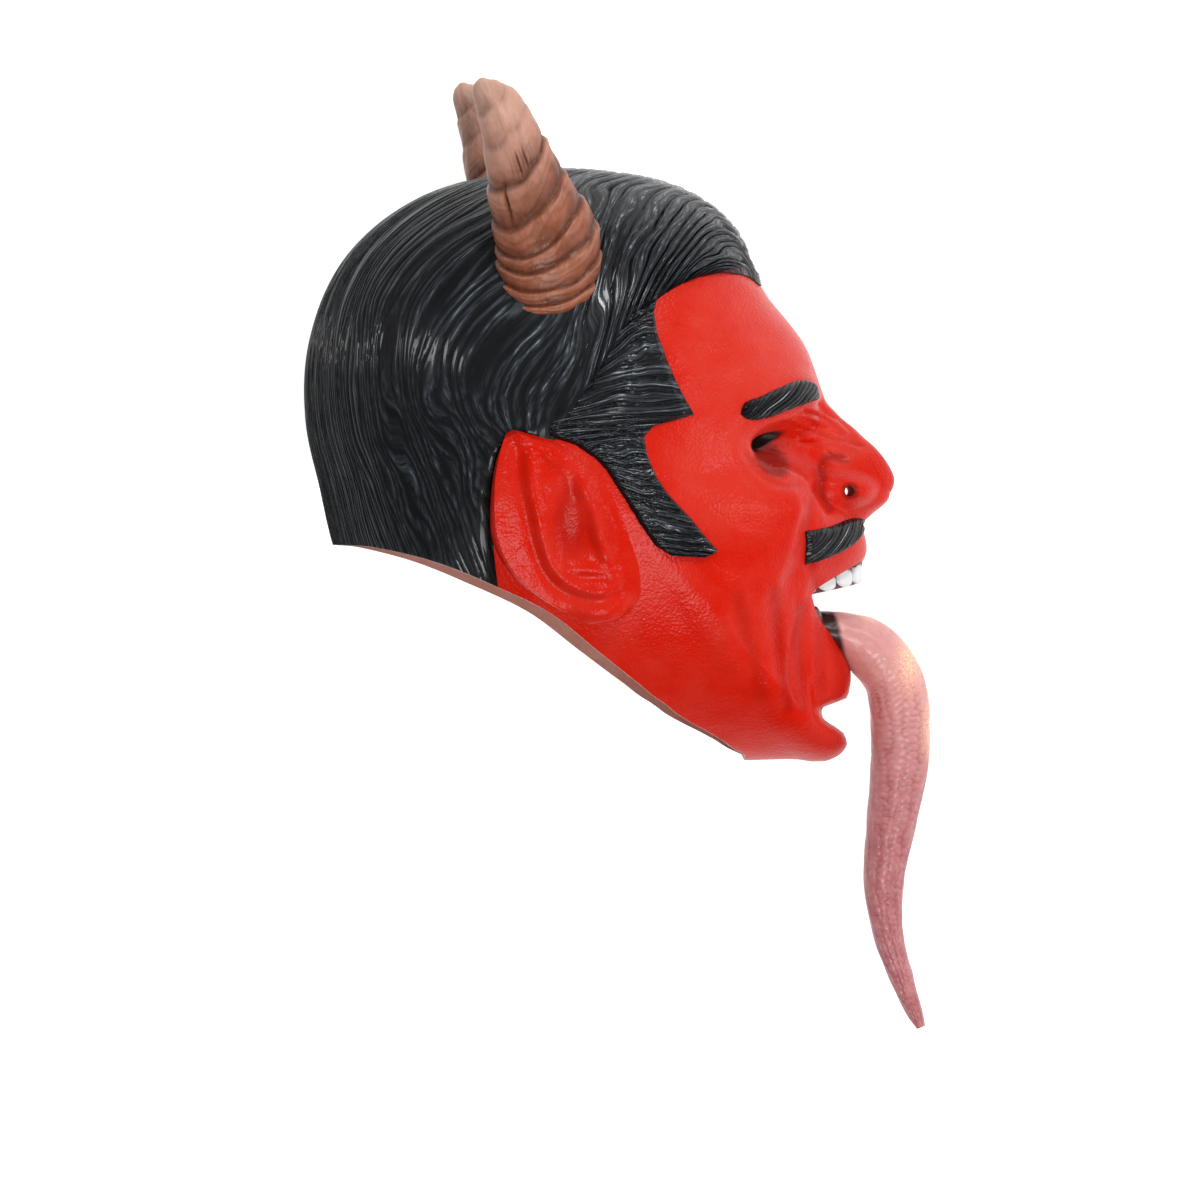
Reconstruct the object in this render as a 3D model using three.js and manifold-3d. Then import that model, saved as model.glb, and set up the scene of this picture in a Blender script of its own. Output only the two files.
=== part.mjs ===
// A devil's head mask that pulls on over the head: one thin latex casting with carved hair, ears,
// eyebrows, moustache and teeth, two ringed horns, and a long curling tongue that lights up.
//
// It is modelled as it is worn, in millimetres: +X is where the face looks, +Y is the wearer's left,
// +Z is up. The finished mask then lies down on its left side, which is how it rests when it is loose.

import * as THREE from 'three';
import Module from 'manifold-3d';
import { mergeVertices } from 'three/addons/utils/BufferGeometryUtils.js';

const wasm = await Module();
wasm.setup();

// Driving dimensions
const HALF_WIDTH = 90;         // half of the head's width at the ears, without hair and ears
const EAR_AXIS = [-22, 0];     // x and z of the line through both ears, which every section turns round
const WALL = 2.8;              // thickness of the latex
const CLEARANCE = 0.35;        // gap between two pieces that touch
const HAIR_RISE = 3;           // how far the crests of the hair stand above the skin
const LOCK_DEPTH = 2.5;        // depth of the grooves between two locks
const CROWN_LOCKS = 10;        // locks on each side, from the middle down to the ear
const EYEBROW_RISE = 2.6;
const MOUSTACHE_RISE = 3.4;
const SUNK = 10;               // how deep a raised form's underside lies inside the head
const RAISED_BED = 2;          // how much lower the skin runs under hair and ears, out of sight
const HAIR_WALL_LESS = 1;      // how much thinner the wall under the hair's crests is

// Places seen from the side are seen from this many degrees behind it, where the far horn just shows
const VIEW_TURN = 4;

// How it lies: turned so far from lying square on its left side, towards the face and the crown
const LYING_TURN = 13;
const LYING_LEAN = 5;
const FLOOR_REACH = 90.2;      // how far below the mask's middle the floor flattens its hair

// The head seen from the side over the hair, without nose and lips, once round from the nape: x, z
// and the fullness of the section towards the ears (2 is an ellipse, more is boxier, less is sharper)
const PROFILE = [
  [-122, -55, 2.3], [-78, -100, 2.2], [-22, -128, 2], [38, -143, 1.8], [85, -143.5, 1.65],
  [107, -144.5, 1.65], [118, -137, 1.65], [112, -123, 1.75], [107, -110, 1.95], [106, -85, 2.2],
  [106, -68, 2.45], [112, -54, 2.4], [117.5, -42, 2.15], [116, -29, 2.1], [110.5, -12, 2],
  [106.5, 8, 2], [106.3, 32, 2], [99, 54, 2], [90, 67, 2.1], [80, 79, 2.2], [73, 91, 2.3],
  [66, 110, 2.3], [43, 129, 2.3], [0, 139, 2.3], [-48, 137, 2.3], [-90, 124, 2.3], [-122, 97, 2.3],
  [-139, 58, 2.3], [-141, 20, 2.3], [-134, -14, 2.3],
];

// Swellings along the middle of the face: z, how far forward and half the width
const NOSE = [
  [36, 0, 10], [28, 2.6, 10.5], [16, 14.5, 14], [5, 27, 18.5], [-6.5, 32, 24], [-13, 30.5, 26],
  [-19, 24, 26], [-25.5, 9.5, 20], [-31, 0, 14],
];
const MUZZLE = [[-16, 0, 44], [-28, 8, 44], [-42, 11, 44], [-54, 11, 42], [-62, 5, 40], [-72, 0, 40]];
const LOWER_LIP = [
  [-60, 0, 38], [-76, 5, 37], [-92, 11.4, 34], [-103, 14, 32], [-112, 11.5, 28], [-115.5, 4, 27],
  [-118, -1.5, 26], [-123, -2, 24], [-128, 0, 22],
];

// Edges of the hair seen from the side. The crown runs from the forehead over the ear to the neck.
const FOREHEAD = [[77, 82.5], [69, 88], [58, 89.5]];
const CROWN_EDGE = [
  [58, 89.5], [43, 85.5], [27, 76], [10, 58], [-6, 32], [-20, 14], [-36, 12.5], [-46.5, 6],
  [-51, -14], [-51, -40], [-47, -75],
];
const NAPE_ANGLE = 203;        // the crown's end behind the neck, seen from the ear axis
// Temple and sideburn, lock by lock from the top down: x and z at the face, x and z towards the ear
const TEMPLE = [
  [25, 72, 16, 65], [27, 60, 7, 56], [33, 43.5, 0, 44], [39, 31, -6, 33], [44.6, 21.2, -17, 23],
  [25.4, 15.8, -22, 11], [20.8, 10.8, -12, 6], [22.2, 2, -3, 0], [26.6, -8.6, 2, -5],
  [32.4, -17, 6, -11.5], [43.2, -28.4, 12, -21], [50, -37, 18, -31], [56.3, -44, 25, -41],
  [50, -46.8, 33, -45.8],
];

// Eyebrow and moustache seen from the front: y, z of the lower edge and z of the upper edge
const EYEBROW = [
  [12, 30.5, 33], [20, 29, 36], [35, 27, 38], [48, 22.5, 34.5], [57, 19.8, 28], [62, 21, 22.5],
];
const MOUSTACHE = [
  [3.5, -41, -28.5], [15, -42, -28.5], [25, -44.5, -30], [35, -47.5, -32.5], [44, -50.5, -34.5],
];

const EYE = [40, 8.5];         // y and z of the eye opening, seen from the front
const NOSTRIL_RADIUS = 2.6;    // one straight hole through both wings of the nose

// The ear seen from the side, from its pointed top to the lobe: x and z in front, x and z behind
const EAR = [
  [-43, 15, -44, 14.5], [-21, 10, -50, -3], [-3, -1, -52.5, -24], [8, -18, -51, -40],
  [13, -36, -42, -55], [15, -52, -28, -66], [14, -66, -12, -74], [4, -77, 0, -77.5],
];
const HELIX = [[-5, 0], [-20, 6], [-36, 9], [-44, 0], [-46, -24], [-40, -44], [-26, -58], [-12, -66]];
const ANTIHELIX = [[-26, -2], [-27, -14], [-24, -28], [-18, -43], [-11, -51]];
const ANTITRAGUS = [[-16, -54], [-4, -58], [7, -54]];

// The mouth seen from the front, and the arch on which the upper teeth stand
const MOUTH_HALF_WIDTH = 34;
const LIP_TOP = -46.5;         // upper lip in the middle
const LIP_CORNER = -65;
const LIP_BOTTOM = -92;        // lower lip in the middle
const TOOTH_FRONT = 125.4;     // front of the middle teeth
const TOOTH_WIDTH = 8.6;
const TOOTH_TIP = -60;
const TEETH_PER_SIDE = 4;

// The bottom edge seen from the side, from the nape forward to under the chin
const BOTTOM_EDGE = [
  [-125.8, -40.8], [-111, -42.2], [-84, -49], [-55.5, -60.5], [-29, -73.4], [-5.5, -91.5],
  [14, -106.6], [34, -121.4], [54, -133], [69, -141.2],
];

// Horn seen from the side and from the front: x, y and z of its middle line, and its half width
const HORN = [
  [-26, 62, 66, 27.5], [-27.5, 67, 84, 26], [-30.5, 72, 104, 22], [-36, 75, 124, 18],
  [-44, 76, 145, 14.5], [-53, 74, 164, 9.5], [-59, 71, 177, 5],
];
const HORN_RINGS = 9;

// Tongue in its own upright plane: x, z, half its thickness seen from the side, half its width
const TONGUE = [
  [86, -84, 9, 15], [101, -80, 10.5, 16.5], [116, -82, 12, 18], [130, -90, 14, 18.5],
  [142, -106, 14.5, 18], [145, -126, 14.6, 17], [144.5, -148, 14, 15.5], [141, -172, 12.3, 13.5],
  [137, -200, 9.9, 11], [138.5, -225, 7.5, 8.5], [145, -248, 5.6, 6.3], [151, -264, 4, 4.4],
  [154.5, -272.5, 2, 2.2],
];

// Arithmetic that several forms share
const clamp = (value) => Math.min(1, Math.max(0, value));
const toRadians = (degrees) => (degrees * Math.PI) / 180;
const mix = (a, b, share) => a.map((value, k) => value + (b[k] - value) * share);

function smooth(from, to, value) {
  const t = clamp((value - from) / (to - from));
  return t * t * (3 - 2 * t);
}

function bump(...offsets) {
  const left = 1 - offsets.reduce((sum, offset) => sum + offset * offset, 0);
  return left > 0 ? left * left : 0;
}

// A smooth curve through keyed rows whose first column rises; before and after name the neighbours
function hermite(before, a, b, after, key) {
  const span = b[0] - a[0];
  const f = (key - a[0]) / span;
  const [f2, f3] = [f * f, f * f * f];
  return a.map((_, m) => {
    const slopeA = (b[m] - before[m]) / (b[0] - before[0]);
    const slopeB = (after[m] - a[m]) / (after[0] - a[0]);
    return (2 * f3 - 3 * f2 + 1) * a[m] + (f3 - 2 * f2 + f) * span * slopeA
      + (3 * f2 - 2 * f3) * b[m] + (f3 - f2) * span * slopeB;
  });
}

function rowAt(rows, key) {
  if (key <= rows[0][0]) return rows[0];
  if (key >= rows.at(-1)[0]) return rows.at(-1);
  const i = rows.findIndex((row) => row[0] > key) - 1;
  return hermite(rows[Math.max(i - 1, 0)], rows[i], rows[i + 1],
    rows[Math.min(i + 2, rows.length - 1)], key);
}

// Rows at even steps of their number, smooth for a curve or straight for one with corners
const numbered = (rows) => rows.map((row, i) => [i, ...row]);
const smoothAt = (rows, share) => rowAt(numbered(rows), share * (rows.length - 1)).slice(1);

function straightAt(rows, share) {
  const place = clamp(share) * (rows.length - 1);
  const i = Math.min(Math.floor(place), rows.length - 2);
  return mix(rows[i], rows[i + 1], place - i);
}

function distanceToPath(path, x, z) {
  let nearest = Infinity;
  for (let i = 0; i + 1 < path.length; i += 1) {
    const [[ax, az], [bx, bz]] = [path[i], path[i + 1]];
    const [dx, dz] = [bx - ax, bz - az];
    const t = clamp(((x - ax) * dx + (z - az) * dz) / (dx * dx + dz * dz));
    nearest = Math.min(nearest, Math.hypot(x - ax - t * dx, z - az - t * dz));
  }
  return nearest;
}

// Distance to a closed outline, positive inside it
function insideBy(outline, x, z) {
  let inside = false;
  outline.forEach(([ax, az], i) => {
    const [bx, bz] = outline[(i + outline.length - 1) % outline.length];
    if ((az > z) !== (bz > z) && x < ((bx - ax) * (z - az)) / (bz - az) + ax) inside = !inside;
  });
  const distance = distanceToPath([...outline, outline[0]], x, z);
  return inside ? distance : -distance;
}

// Hair and ears seen from the side, as whole outlines
const acrossBand = (rows) => [
  ...rows.map(([ax, az]) => [ax, az]), ...[...rows].reverse().map(([, , bx, bz]) => [bx, bz])];
const FAR = 400;
const RAISED = [
  [...FOREHEAD, ...CROWN_EDGE.slice(1), [-50, -FAR], [-FAR, -FAR], [-FAR, FAR], [FAR, FAR], [FAR, 82.5]],
  acrossBand(TEMPLE), acrossBand(EAR),
];
const seenFromSide = ([x, y, z]) => [x + Math.abs(y) * Math.tan(toRadians(VIEW_TURN)), z];

function underRaised(point) {
  const [x, z] = seenFromSide(point);
  return Math.max(...RAISED.map((outline) => insideBy(outline, x, z)));
}

// The head's surface. A place on it is an angle round the ear axis, 0 at the face and 90 at the
// crown, and a turn from 0 in the middle to 90 at the left ear, both in degrees.
const polar = PROFILE.map(([x, z, fullness]) => {
  const [dx, dz] = [x - EAR_AXIS[0], z - EAR_AXIS[1]];
  return [(Math.atan2(dz, dx) * 180) / Math.PI, Math.hypot(dx, dz), fullness];
}).sort((a, b) => a[0] - b[0]);
const shifted = (turns) => polar.map(([angle, ...rest]) => [angle + 360 * turns, ...rest]);
const wrapped = [...shifted(-1).slice(-2), ...polar, ...shifted(1)];

const underHair = (angle) => smooth(38, 50, angle) * smooth(225, 205, angle);

function profileAt(angle) {
  const [, radius, fullness] = rowAt(wrapped, angle);
  return [radius - HAIR_RISE * underHair(angle), fullness];
}

function onHead([angle, turn]) {
  const [radius, fullness] = profileAt(angle);
  const [across, along] = [Math.sin(toRadians(turn)), Math.cos(toRadians(turn))];
  const reach = radius * Math.max(along, 0) ** (2 / fullness);
  return shapeFace([
    EAR_AXIS[0] + reach * Math.cos(toRadians(angle)),
    HALF_WIDTH * Math.sign(across) * Math.abs(across) ** (2 / fullness),
    EAR_AXIS[1] + reach * Math.sin(toRadians(angle)),
  ]);
}

// The place on the left half that is level with x and z
function levelWith(x, z) {
  const [dx, dz] = [x - EAR_AXIS[0], z - EAR_AXIS[1]];
  let angle = (Math.atan2(dz, dx) * 180) / Math.PI;
  if (angle < -75) angle += 360;
  const [radius, fullness] = profileAt(angle);
  const along = Math.min(1, Math.hypot(dx, dz) / radius) ** (fullness / 2);
  return [angle, (Math.acos(along) * 180) / Math.PI];
}

// The place on the left half that is seen at x and z from the side
function fromSide([x, z]) {
  const [angle, turn] = levelWith(x, z);
  const width = HALF_WIDTH * Math.sin(toRadians(turn)) ** (2 / profileAt(angle)[1]);
  return levelWith(x - width * Math.tan(toRadians(VIEW_TURN)), z);
}

// The place on the face that is seen at y and z from the front
function fromFront([y, z]) {
  let [low, high] = [-55, 60];
  const turnAt = (fullness) => (Math.asin((Math.abs(y) / HALF_WIDTH) ** (fullness / 2)) * 180) / Math.PI;
  for (let i = 0; i < 30; i += 1) {
    const angle = (low + high) / 2;
    const [radius, fullness] = profileAt(angle);
    const reach = radius * Math.cos(toRadians(turnAt(fullness))) ** (2 / fullness);
    if (reach * Math.sin(toRadians(angle)) < z) low = angle;
    else high = angle;
  }
  return [low, Math.sign(y) * turnAt(profileAt(low)[1])];
}

// Nose, lips and the soft forms of the face, pushed forward or back and out or in
function swelling(rows, roundness, side, z) {
  const [, amount, half] = rowAt([...rows].reverse(), z);
  return amount * Math.max(0, 1 - (side / half) ** 2) ** roundness;
}

function shapeFace([x, y, z]) {
  if (x < 20) return [x, y, z];
  const side = Math.abs(y);
  let forward = swelling(NOSE, 1.25, side, z) + swelling(MUZZLE, 2, side, z)
    + swelling(LOWER_LIP, 1.2, side, z);
  forward += 3.5 * bump((side - 36) / 30, (z - 33) / 14);            // ridge of the brow
  forward -= 15.5 * bump((side - 37) / 27, (z - 6) / 17);            // socket of the eye
  forward += 5 * bump((side - 56) / 26, (z + 17) / 20);              // cheekbone
  forward -= 4 * bump((side - 60) / 22, (z + 95) / 36);              // hollow cheek by the jaw
  forward -= 5 * bump((side - 49) / 9, (z + 45) / 46);               // fold from nose to mouth
  forward -= 4 * bump((side - 39) / 8, (z + 98) / 34);               // fold beside the lower lip
  const wing = bump((side - 20) / 9, (z + 15) / 9);                  // wing of the nose
  const temple = bump((side - 78) / 24, (z - 42) / 40) * smooth(30, 60, x);
  return [x + forward + 4 * wing, y + Math.sign(y) * (3.2 * wing - 3 * temple), z];
}

// Closed forms. A sheet is a grid of places; its top lies at its height above the skin.
function closedSheet(places, heightAt, { sunk = SUNK, grow = 0 } = {}) {
  const [rows, columns] = [places.length, places[0].length];
  const points = places.flat().map(onHead);
  const at = (i, j) => i * columns + j;
  const top = [];
  for (let i = 0; i + 1 < rows; i += 1) {
    for (let j = 0; j + 1 < columns; j += 1) {
      const [a, b, c, d] = [at(i, j), at(i, j + 1), at(i + 1, j + 1), at(i + 1, j)];
      if ((i + j) % 2) top.push(a, b, c, a, c, d);
      else top.push(a, b, d, b, c, d);
    }
  }
  const normals = normalsOf(points, top);
  const lifted = points.map((p, k) => {
    const height = heightAt(Math.floor(k / columns), k % columns, p) + grow;
    return p.map((value, m) => value + normals[k][m] * height);
  });
  const lowered = points.map((p, k) => p.map((value, m) => value - normals[k][m] * sunk));
  const edge = [];
  for (let j = 0; j + 1 < columns; j += 1) edge.push([at(0, j), at(0, j + 1)]);
  for (let i = 0; i + 1 < rows; i += 1) edge.push([at(i, columns - 1), at(i + 1, columns - 1)]);
  for (let j = columns - 1; j > 0; j -= 1) edge.push([at(rows - 1, j), at(rows - 1, j - 1)]);
  for (let i = rows - 1; i > 0; i -= 1) edge.push([at(i, 0), at(i - 1, 0)]);
  const under = points.length;
  const index = [...top];
  for (let k = 0; k < top.length; k += 3) index.push(top[k] + under, top[k + 2] + under, top[k + 1] + under);
  for (const [a, b] of edge) index.push(a, a + under, b + under, a, b + under, b);
  return solidFrom([...lifted, ...lowered], index);
}

function geometryFrom(points, index) {
  const geometry = new THREE.BufferGeometry();
  geometry.setAttribute('position', new THREE.Float32BufferAttribute(points.flat(), 3));
  geometry.setIndex(index);
  return geometry;
}

// Normals that point away from the ear axis, whichever way the faces turn
function normalsOf(points, index) {
  const geometry = geometryFrom(points, index);
  geometry.computeVertexNormals();
  const normal = geometry.getAttribute('normal');
  const normals = points.map((_, k) => [normal.getX(k), normal.getY(k), normal.getZ(k)]);
  const outward = points.reduce((sum, [x, y, z], k) => sum + normals[k][0] * (x - EAR_AXIS[0])
    + normals[k][1] * y + normals[k][2] * (z - EAR_AXIS[1]), 0);
  return outward < 0 ? normals.map((n) => n.map((value) => -value)) : normals;
}

// Closed rings of points, one after the other, with a point at each end. A ring may have fewer
// points than the next, as long as its number divides the other's.
function closedTube(start, rings, end) {
  const points = [start, ...rings.flat(), end];
  const index = [];
  const firsts = rings.map((_, j) => 1 + rings.slice(0, j).flat().length);
  const vertex = (j, i) => firsts[j] + (i % rings[j].length);
  rings[0].forEach((_, i) => index.push(0, vertex(0, i + 1), vertex(0, i)));
  for (let j = 0; j + 1 < rings.length; j += 1) {
    const [near, far] = [rings[j].length, rings[j + 1].length];
    let [i, k] = [0, 0];
    while (i < near || k < far) {
      if ((i + 1) / near <= (k + 1) / far) {
        index.push(vertex(j, i), vertex(j, i + 1), vertex(j + 1, k));
        i += 1;
      } else {
        index.push(vertex(j, i), vertex(j + 1, k + 1), vertex(j + 1, k));
        k += 1;
      }
    }
  }
  const last = rings.length - 1;
  rings[last].forEach((_, i) => index.push(points.length - 1, vertex(last, i), vertex(last, i + 1)));
  return { points, index };
}

// Solids, which join and cut each other
function toSolid(geometry) {
  const bare = geometry.clone();
  bare.deleteAttribute('normal');
  bare.deleteAttribute('uv');
  const merged = mergeVertices(bare, 1e-4);
  const solid = new wasm.Manifold(new wasm.Mesh({
    numProp: 3,
    vertProperties: Float32Array.from(merged.getAttribute('position').array),
    triVerts: Uint32Array.from(merged.index.array),
  }));
  return solid;
}

// A closed mesh in either winding becomes a solid with its faces pointing out
function solidFrom(points, index) {
  let volume = 0;
  for (let k = 0; k < index.length; k += 3) {
    const [a, b, c] = [points[index[k]], points[index[k + 1]], points[index[k + 2]]];
    volume += a[0] * (b[1] * c[2] - b[2] * c[1]) + a[1] * (b[2] * c[0] - b[0] * c[2])
      + a[2] * (b[0] * c[1] - b[1] * c[0]);
  }
  return toSolid(geometryFrom(points, volume < 0 ? [...index].reverse() : index));
}

function toGeometry(solid) {
  const mesh = solid.getMesh();
  const geometry = new THREE.BufferGeometry();
  geometry.setAttribute('position', new THREE.Float32BufferAttribute(mesh.vertProperties, 3));
  geometry.setIndex(Array.from(mesh.triVerts));
  return geometry;
}

const joined = (solids) => solids.reduce((all, solid) => all.add(solid));

function mirrored(solid) {
  const geometry = toGeometry(solid);
  geometry.scale(1, -1, 1);
  geometry.setIndex(Array.from(geometry.index.array).reverse());
  return toSolid(geometry);
}

const pair = (solid) => solid.add(mirrored(solid));

// An outline in two axes, pushed through along the third: 'side' along y, 'front' along x
function pushedThrough(outline, view, from, to) {
  const shape = new THREE.Shape(outline.map(([u, v]) => new THREE.Vector2(u, v)));
  const geometry = new THREE.ExtrudeGeometry(shape, { depth: to - from, bevelEnabled: false, steps: 1 });
  geometry.rotateX(Math.PI / 2);
  if (view === 'side') {
    geometry.translate(0, to, 0);
  } else {
    geometry.rotateZ(Math.PI / 2);
    geometry.translate(from, 0, 0);
  }
  return toSolid(geometry);
}

// The skin on rings that run round the ear axis, from the right ear to the left
const range = (from, to, step) => Array.from(
  { length: Math.round((to - from) / step) }, (_, i) => from + i * step);

function headForm({ angles, turns, point }) {
  const rings = turns.map((turn) => {
    const every = Math.abs(turn) > 70 ? 4 : Math.abs(turn) > 32 ? 2 : 1;
    return angles.filter((_, i) => i % every === 0).map((angle) => point([angle, turn]));
  });
  return closedTube(point([0, -90]), rings, point([0, 90]));
}

function skin() {
  const angles = [...range(-47.5, -37, 1.5), ...range(-37, 7, 2.75), ...range(7, 43, 4),
    ...range(43, 51, 4), ...range(51, 211, 16), ...range(211, 311, 10)];
  const half = [2.8, 6, 9.5, 13.5, 18, 23, 29, 36, 44, 53, 63, 75];
  const turns = [...half.map((turn) => -turn).reverse(), 0, ...half];
  const { points, index } = headForm({ angles, turns, point: onHead });
  const normals = normalsOf(points, index);
  const lowered = points.map((p, k) => {
    const depth = RAISED_BED * smooth(6, 14, underRaised(p));
    return p.map((value, m) => value - normals[k][m] * depth);
  });
  return solidFrom(lowered, index);
}

// The hollow follows the head smoothly. It leaves the nose, the lips, the eye sockets and the edges
// of the hair thicker.
function hollow() {
  const angles = [...range(-47, 43, 6), ...range(43, 313, 13.5)];
  const half = [8, 17, 28, 40, 52, 64, 76];
  const turns = [...half.map((turn) => -turn).reverse(), 0, ...half];
  const inside = ([angle, turn]) => {
    const place = onHead([angle, turn]);
    const [x, y, z] = place;
    const wall = WALL - HAIR_WALL_LESS * underHair(angle);
    const [dx, dz] = [x - EAR_AXIS[0], z - EAR_AXIS[1]];
    const along = Math.abs(Math.cos(toRadians(turn)));
    const notch = 5 * bump(y / 45, (z + 118) / 22);
    const socket = 9 * bump((Math.abs(y) - 27) / 25, (z - 4) / 21);
    const hairEdge = RAISED_BED * bump(underRaised(place) / 22);
    const deeper = wall * (0.5 + 0.5 * along) + 1.2 * smooth(110, 135, x) + notch + socket + hairEdge;
    const inward = 1 - deeper / Math.max(Math.hypot(dx, dz), 30);
    return [EAR_AXIS[0] + dx * inward, y * (1 - wall / HALF_WIDTH), EAR_AXIS[1] + dz * inward];
  };
  const { points, index } = headForm({ angles, turns, point: inside });
  return solidFrom(points, index);
}

// The crown of hair, whose columns are the crests and grooves of its locks
function crownPlace(along, across) {
  const share = Math.abs(across);
  const front = fromSide(smoothAt(FOREHEAD, share));
  const frontMiddle = [fromSide(FOREHEAD[0])[0], 0];
  const frontEnd = fromSide(FOREHEAD.at(-1));
  const middle = [frontMiddle[0] + (NAPE_ANGLE - frontMiddle[0]) * along, 0];
  const edge = fromSide(smoothAt(CROWN_EDGE, along));
  const edgeEnd = fromSide(CROWN_EDGE.at(-1));
  const nape = mix([NAPE_ANGLE, 0], edgeEnd, share);
  const place = [0, 1].map((k) => (1 - share) * middle[k] + share * edge[k]
    + (1 - along) * (k && share === 0 ? 0 : front[k]) + along * nape[k]
    - (1 - along) * ((1 - share) * frontMiddle[k] + share * frontEnd[k])
    - along * ((1 - share) * NAPE_ANGLE * (1 - k) + share * edgeEnd[k]));
  return [place[0], Math.sign(across) * Math.max(place[1], 0)];
}

function lockHeight(column, along) {
  const depth = LOCK_DEPTH * (0.75 + 0.25 * Math.sin(2.4 * column + 5 * along));
  return HAIR_RISE - (column % 2 ? 0 : depth);
}

function crown(grow = 0) {
  const [steps, columns] = [16, 4 * CROWN_LOCKS + 2];
  const places = range(0, steps + 1, 1).map((i) => range(0, columns + 1, 1).map((j) => {
    const across = (2 * j) / columns - 1;
    const along = i / steps;
    const wave = 0.014 * Math.sin(9 * along + 4 * Math.abs(across)) * (1 - across * across);
    return crownPlace(along, across + wave * Math.sign(across));
  }));
  const height = (i, j) => {
    const edge = j === 0 || j === columns;
    return edge ? HAIR_RISE - 1 : lockHeight(Math.abs(j - columns / 2), i / steps);
  };
  return closedSheet(places, height, { grow });
}

function temple(grow = 0) {
  const [rows, columns] = [2 * (TEMPLE.length - 1), 3];
  const places = range(0, rows + 1, 1).map((i) => range(0, columns + 1, 1).map((j) => {
    const [ax, az, bx, bz] = straightAt(TEMPLE, i / rows);
    return fromSide(mix([ax, az], [bx, bz], j / columns));
  }));
  const height = (i, j) => {
    if (j === columns) return -HAIR_RISE;
    return HAIR_RISE - (i % 2 && j ? 0.5 * LOCK_DEPTH : 0);
  };
  return pair(closedSheet(places, height, { grow }));
}

// A raised band seen from the front, such as an eyebrow, ridged across in strands
function frontBand(rows, rise, steps, columns, strands) {
  const places = range(0, steps + 1, 1).map((i) => range(0, columns + 1, 1).map((j) => {
    const [y, low, high] = smoothAt(rows, i / steps);
    return fromFront([y, low + (high - low) * (j / columns)]);
  }));
  const height = (i, j) => {
    const edge = i === 0 || i === steps || j === 0 || j === columns;
    return edge ? 0.45 * rise : rise * (1 - 0.25 * ((i * strands + j) % 2));
  };
  return pair(closedSheet(places, height, { sunk: 2.5 }));
}

function earHeight(point) {
  const [x, z] = seenFromSide(point);
  const ridge = (path, width) => Math.exp(-((distanceToPath(path, x, z) / width) ** 2));
  const rim = 5.5 * ridge(HELIX, 5.5) + 4.5 * ridge(ANTIHELIX, 4.5) + 4 * ridge(ANTITRAGUS, 4.5);
  const lobe = 4 * bump((x - 2) / 12, (z + 67) / 13);
  const tragus = 5 * bump((x - 3) / 9, (z + 30) / 12);
  const bowl = 5 * bump((x + 10) / 13, (z + 37) / 18);
  return Math.max(0.6, 1 + 3.5 * smooth(14, -46, x) + rim + lobe + tragus - bowl);
}

function ears() {
  const [steps, columns] = [13, 8];
  const places = range(0, steps + 1, 1).map((i) => range(0, columns + 1, 1).map((j) => {
    const [ax, az, bx, bz] = smoothAt(EAR, i / steps);
    return fromSide(mix([ax, az], [bx, bz], j / columns));
  }));
  const height = (i, j, point) => earHeight(point) * (j === 0 || i === 0 || i === steps ? 0.3 : 1);
  return pair(closedSheet(places, height));
}

// Openings
function mouthOpening() {
  const steps = 8;
  const edge = (share, middle, power) => {
    const drop = (LIP_CORNER - middle) * Math.abs(share) ** power;
    return [MOUTH_HALF_WIDTH * share, middle + drop];
  };
  const shares = range(-steps, steps + 1, 1).map((i) => i / steps);
  const outline = [
    ...shares.map((share) => edge(share, LIP_BOTTOM, 1.8)),
    ...shares.slice(1, -1).reverse().map((share) => edge(share, LIP_TOP, 1.6)),
  ];
  return pushedThrough(outline, 'front', 60, 170);
}

function eyeOpenings() {
  const outline = range(0, 12, 1).map((i) => {
    const turn = (Math.PI * i) / 6;
    const [u, v] = [11 * Math.cos(turn), 3.6 * Math.sin(turn) * (1 - 0.25 * Math.cos(turn))];
    return [EYE[0] + u, EYE[1] + v - 0.25 * u];
  });
  return pair(pushedThrough(outline, 'front', 40, 120));
}

function nostrils() {
  const bore = new THREE.CylinderGeometry(NOSTRIL_RADIUS, NOSTRIL_RADIUS, 80, 10);
  bore.translate(118.5, 0, -15);
  return toSolid(bore);
}

function underBottomEdge() {
  const line = range(0, 25, 1).map((i) => smoothAt(BOTTOM_EDGE, i / 24));
  const below = [[77, -175], [-190, -175], [-190, -40.5]];
  return pushedThrough([...line, ...below], 'side', -160, 160);
}

// Teeth and gums
const archAt = (y) => TOOTH_FRONT - 18.7 * (Math.abs(y) / 23) ** 1.4;

function gum({ front, depth, half, from, to }) {
  const ys = range(-8, 9, 1).map((i) => (half * i) / 8);
  const outline = [...ys.map((y) => [front(y), y]), ...ys.reverse().map((y) => [front(y) - depth, y])];
  const shape = new THREE.Shape(outline.map(([x, y]) => new THREE.Vector2(x, y)));
  const geometry = new THREE.ExtrudeGeometry(shape, { depth: to - from, bevelEnabled: false });
  geometry.translate(0, 0, from);
  return toSolid(geometry);
}

function tooth(number) {
  const y = (number + 0.5) * (TOOTH_WIDTH - 0.9) + 0.2;
  const slope = Math.atan2(archAt(y - 2) - archAt(y + 2), 4);
  const [half, tip, cut] = [TOOTH_WIDTH / 2 - 0.6, TOOTH_TIP - 0.5 * number, 1.6];
  const outline = [[-half + 0.5, -46], [-half, tip + cut * 1.6], [-half + cut, tip], [half - cut, tip],
    [half, tip + cut * 1.6], [half - 0.5, -46]];
  const shape = new THREE.Shape(outline.map(([u, v]) => new THREE.Vector2(u, v)));
  const geometry = new THREE.ExtrudeGeometry(shape, { depth: 5, bevelEnabled: false });
  geometry.rotateX(Math.PI / 2);
  geometry.rotateZ(Math.PI / 2);
  geometry.rotateZ(slope);
  geometry.translate(archAt(y) - 5, y, 0);
  return toSolid(geometry);
}

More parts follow.
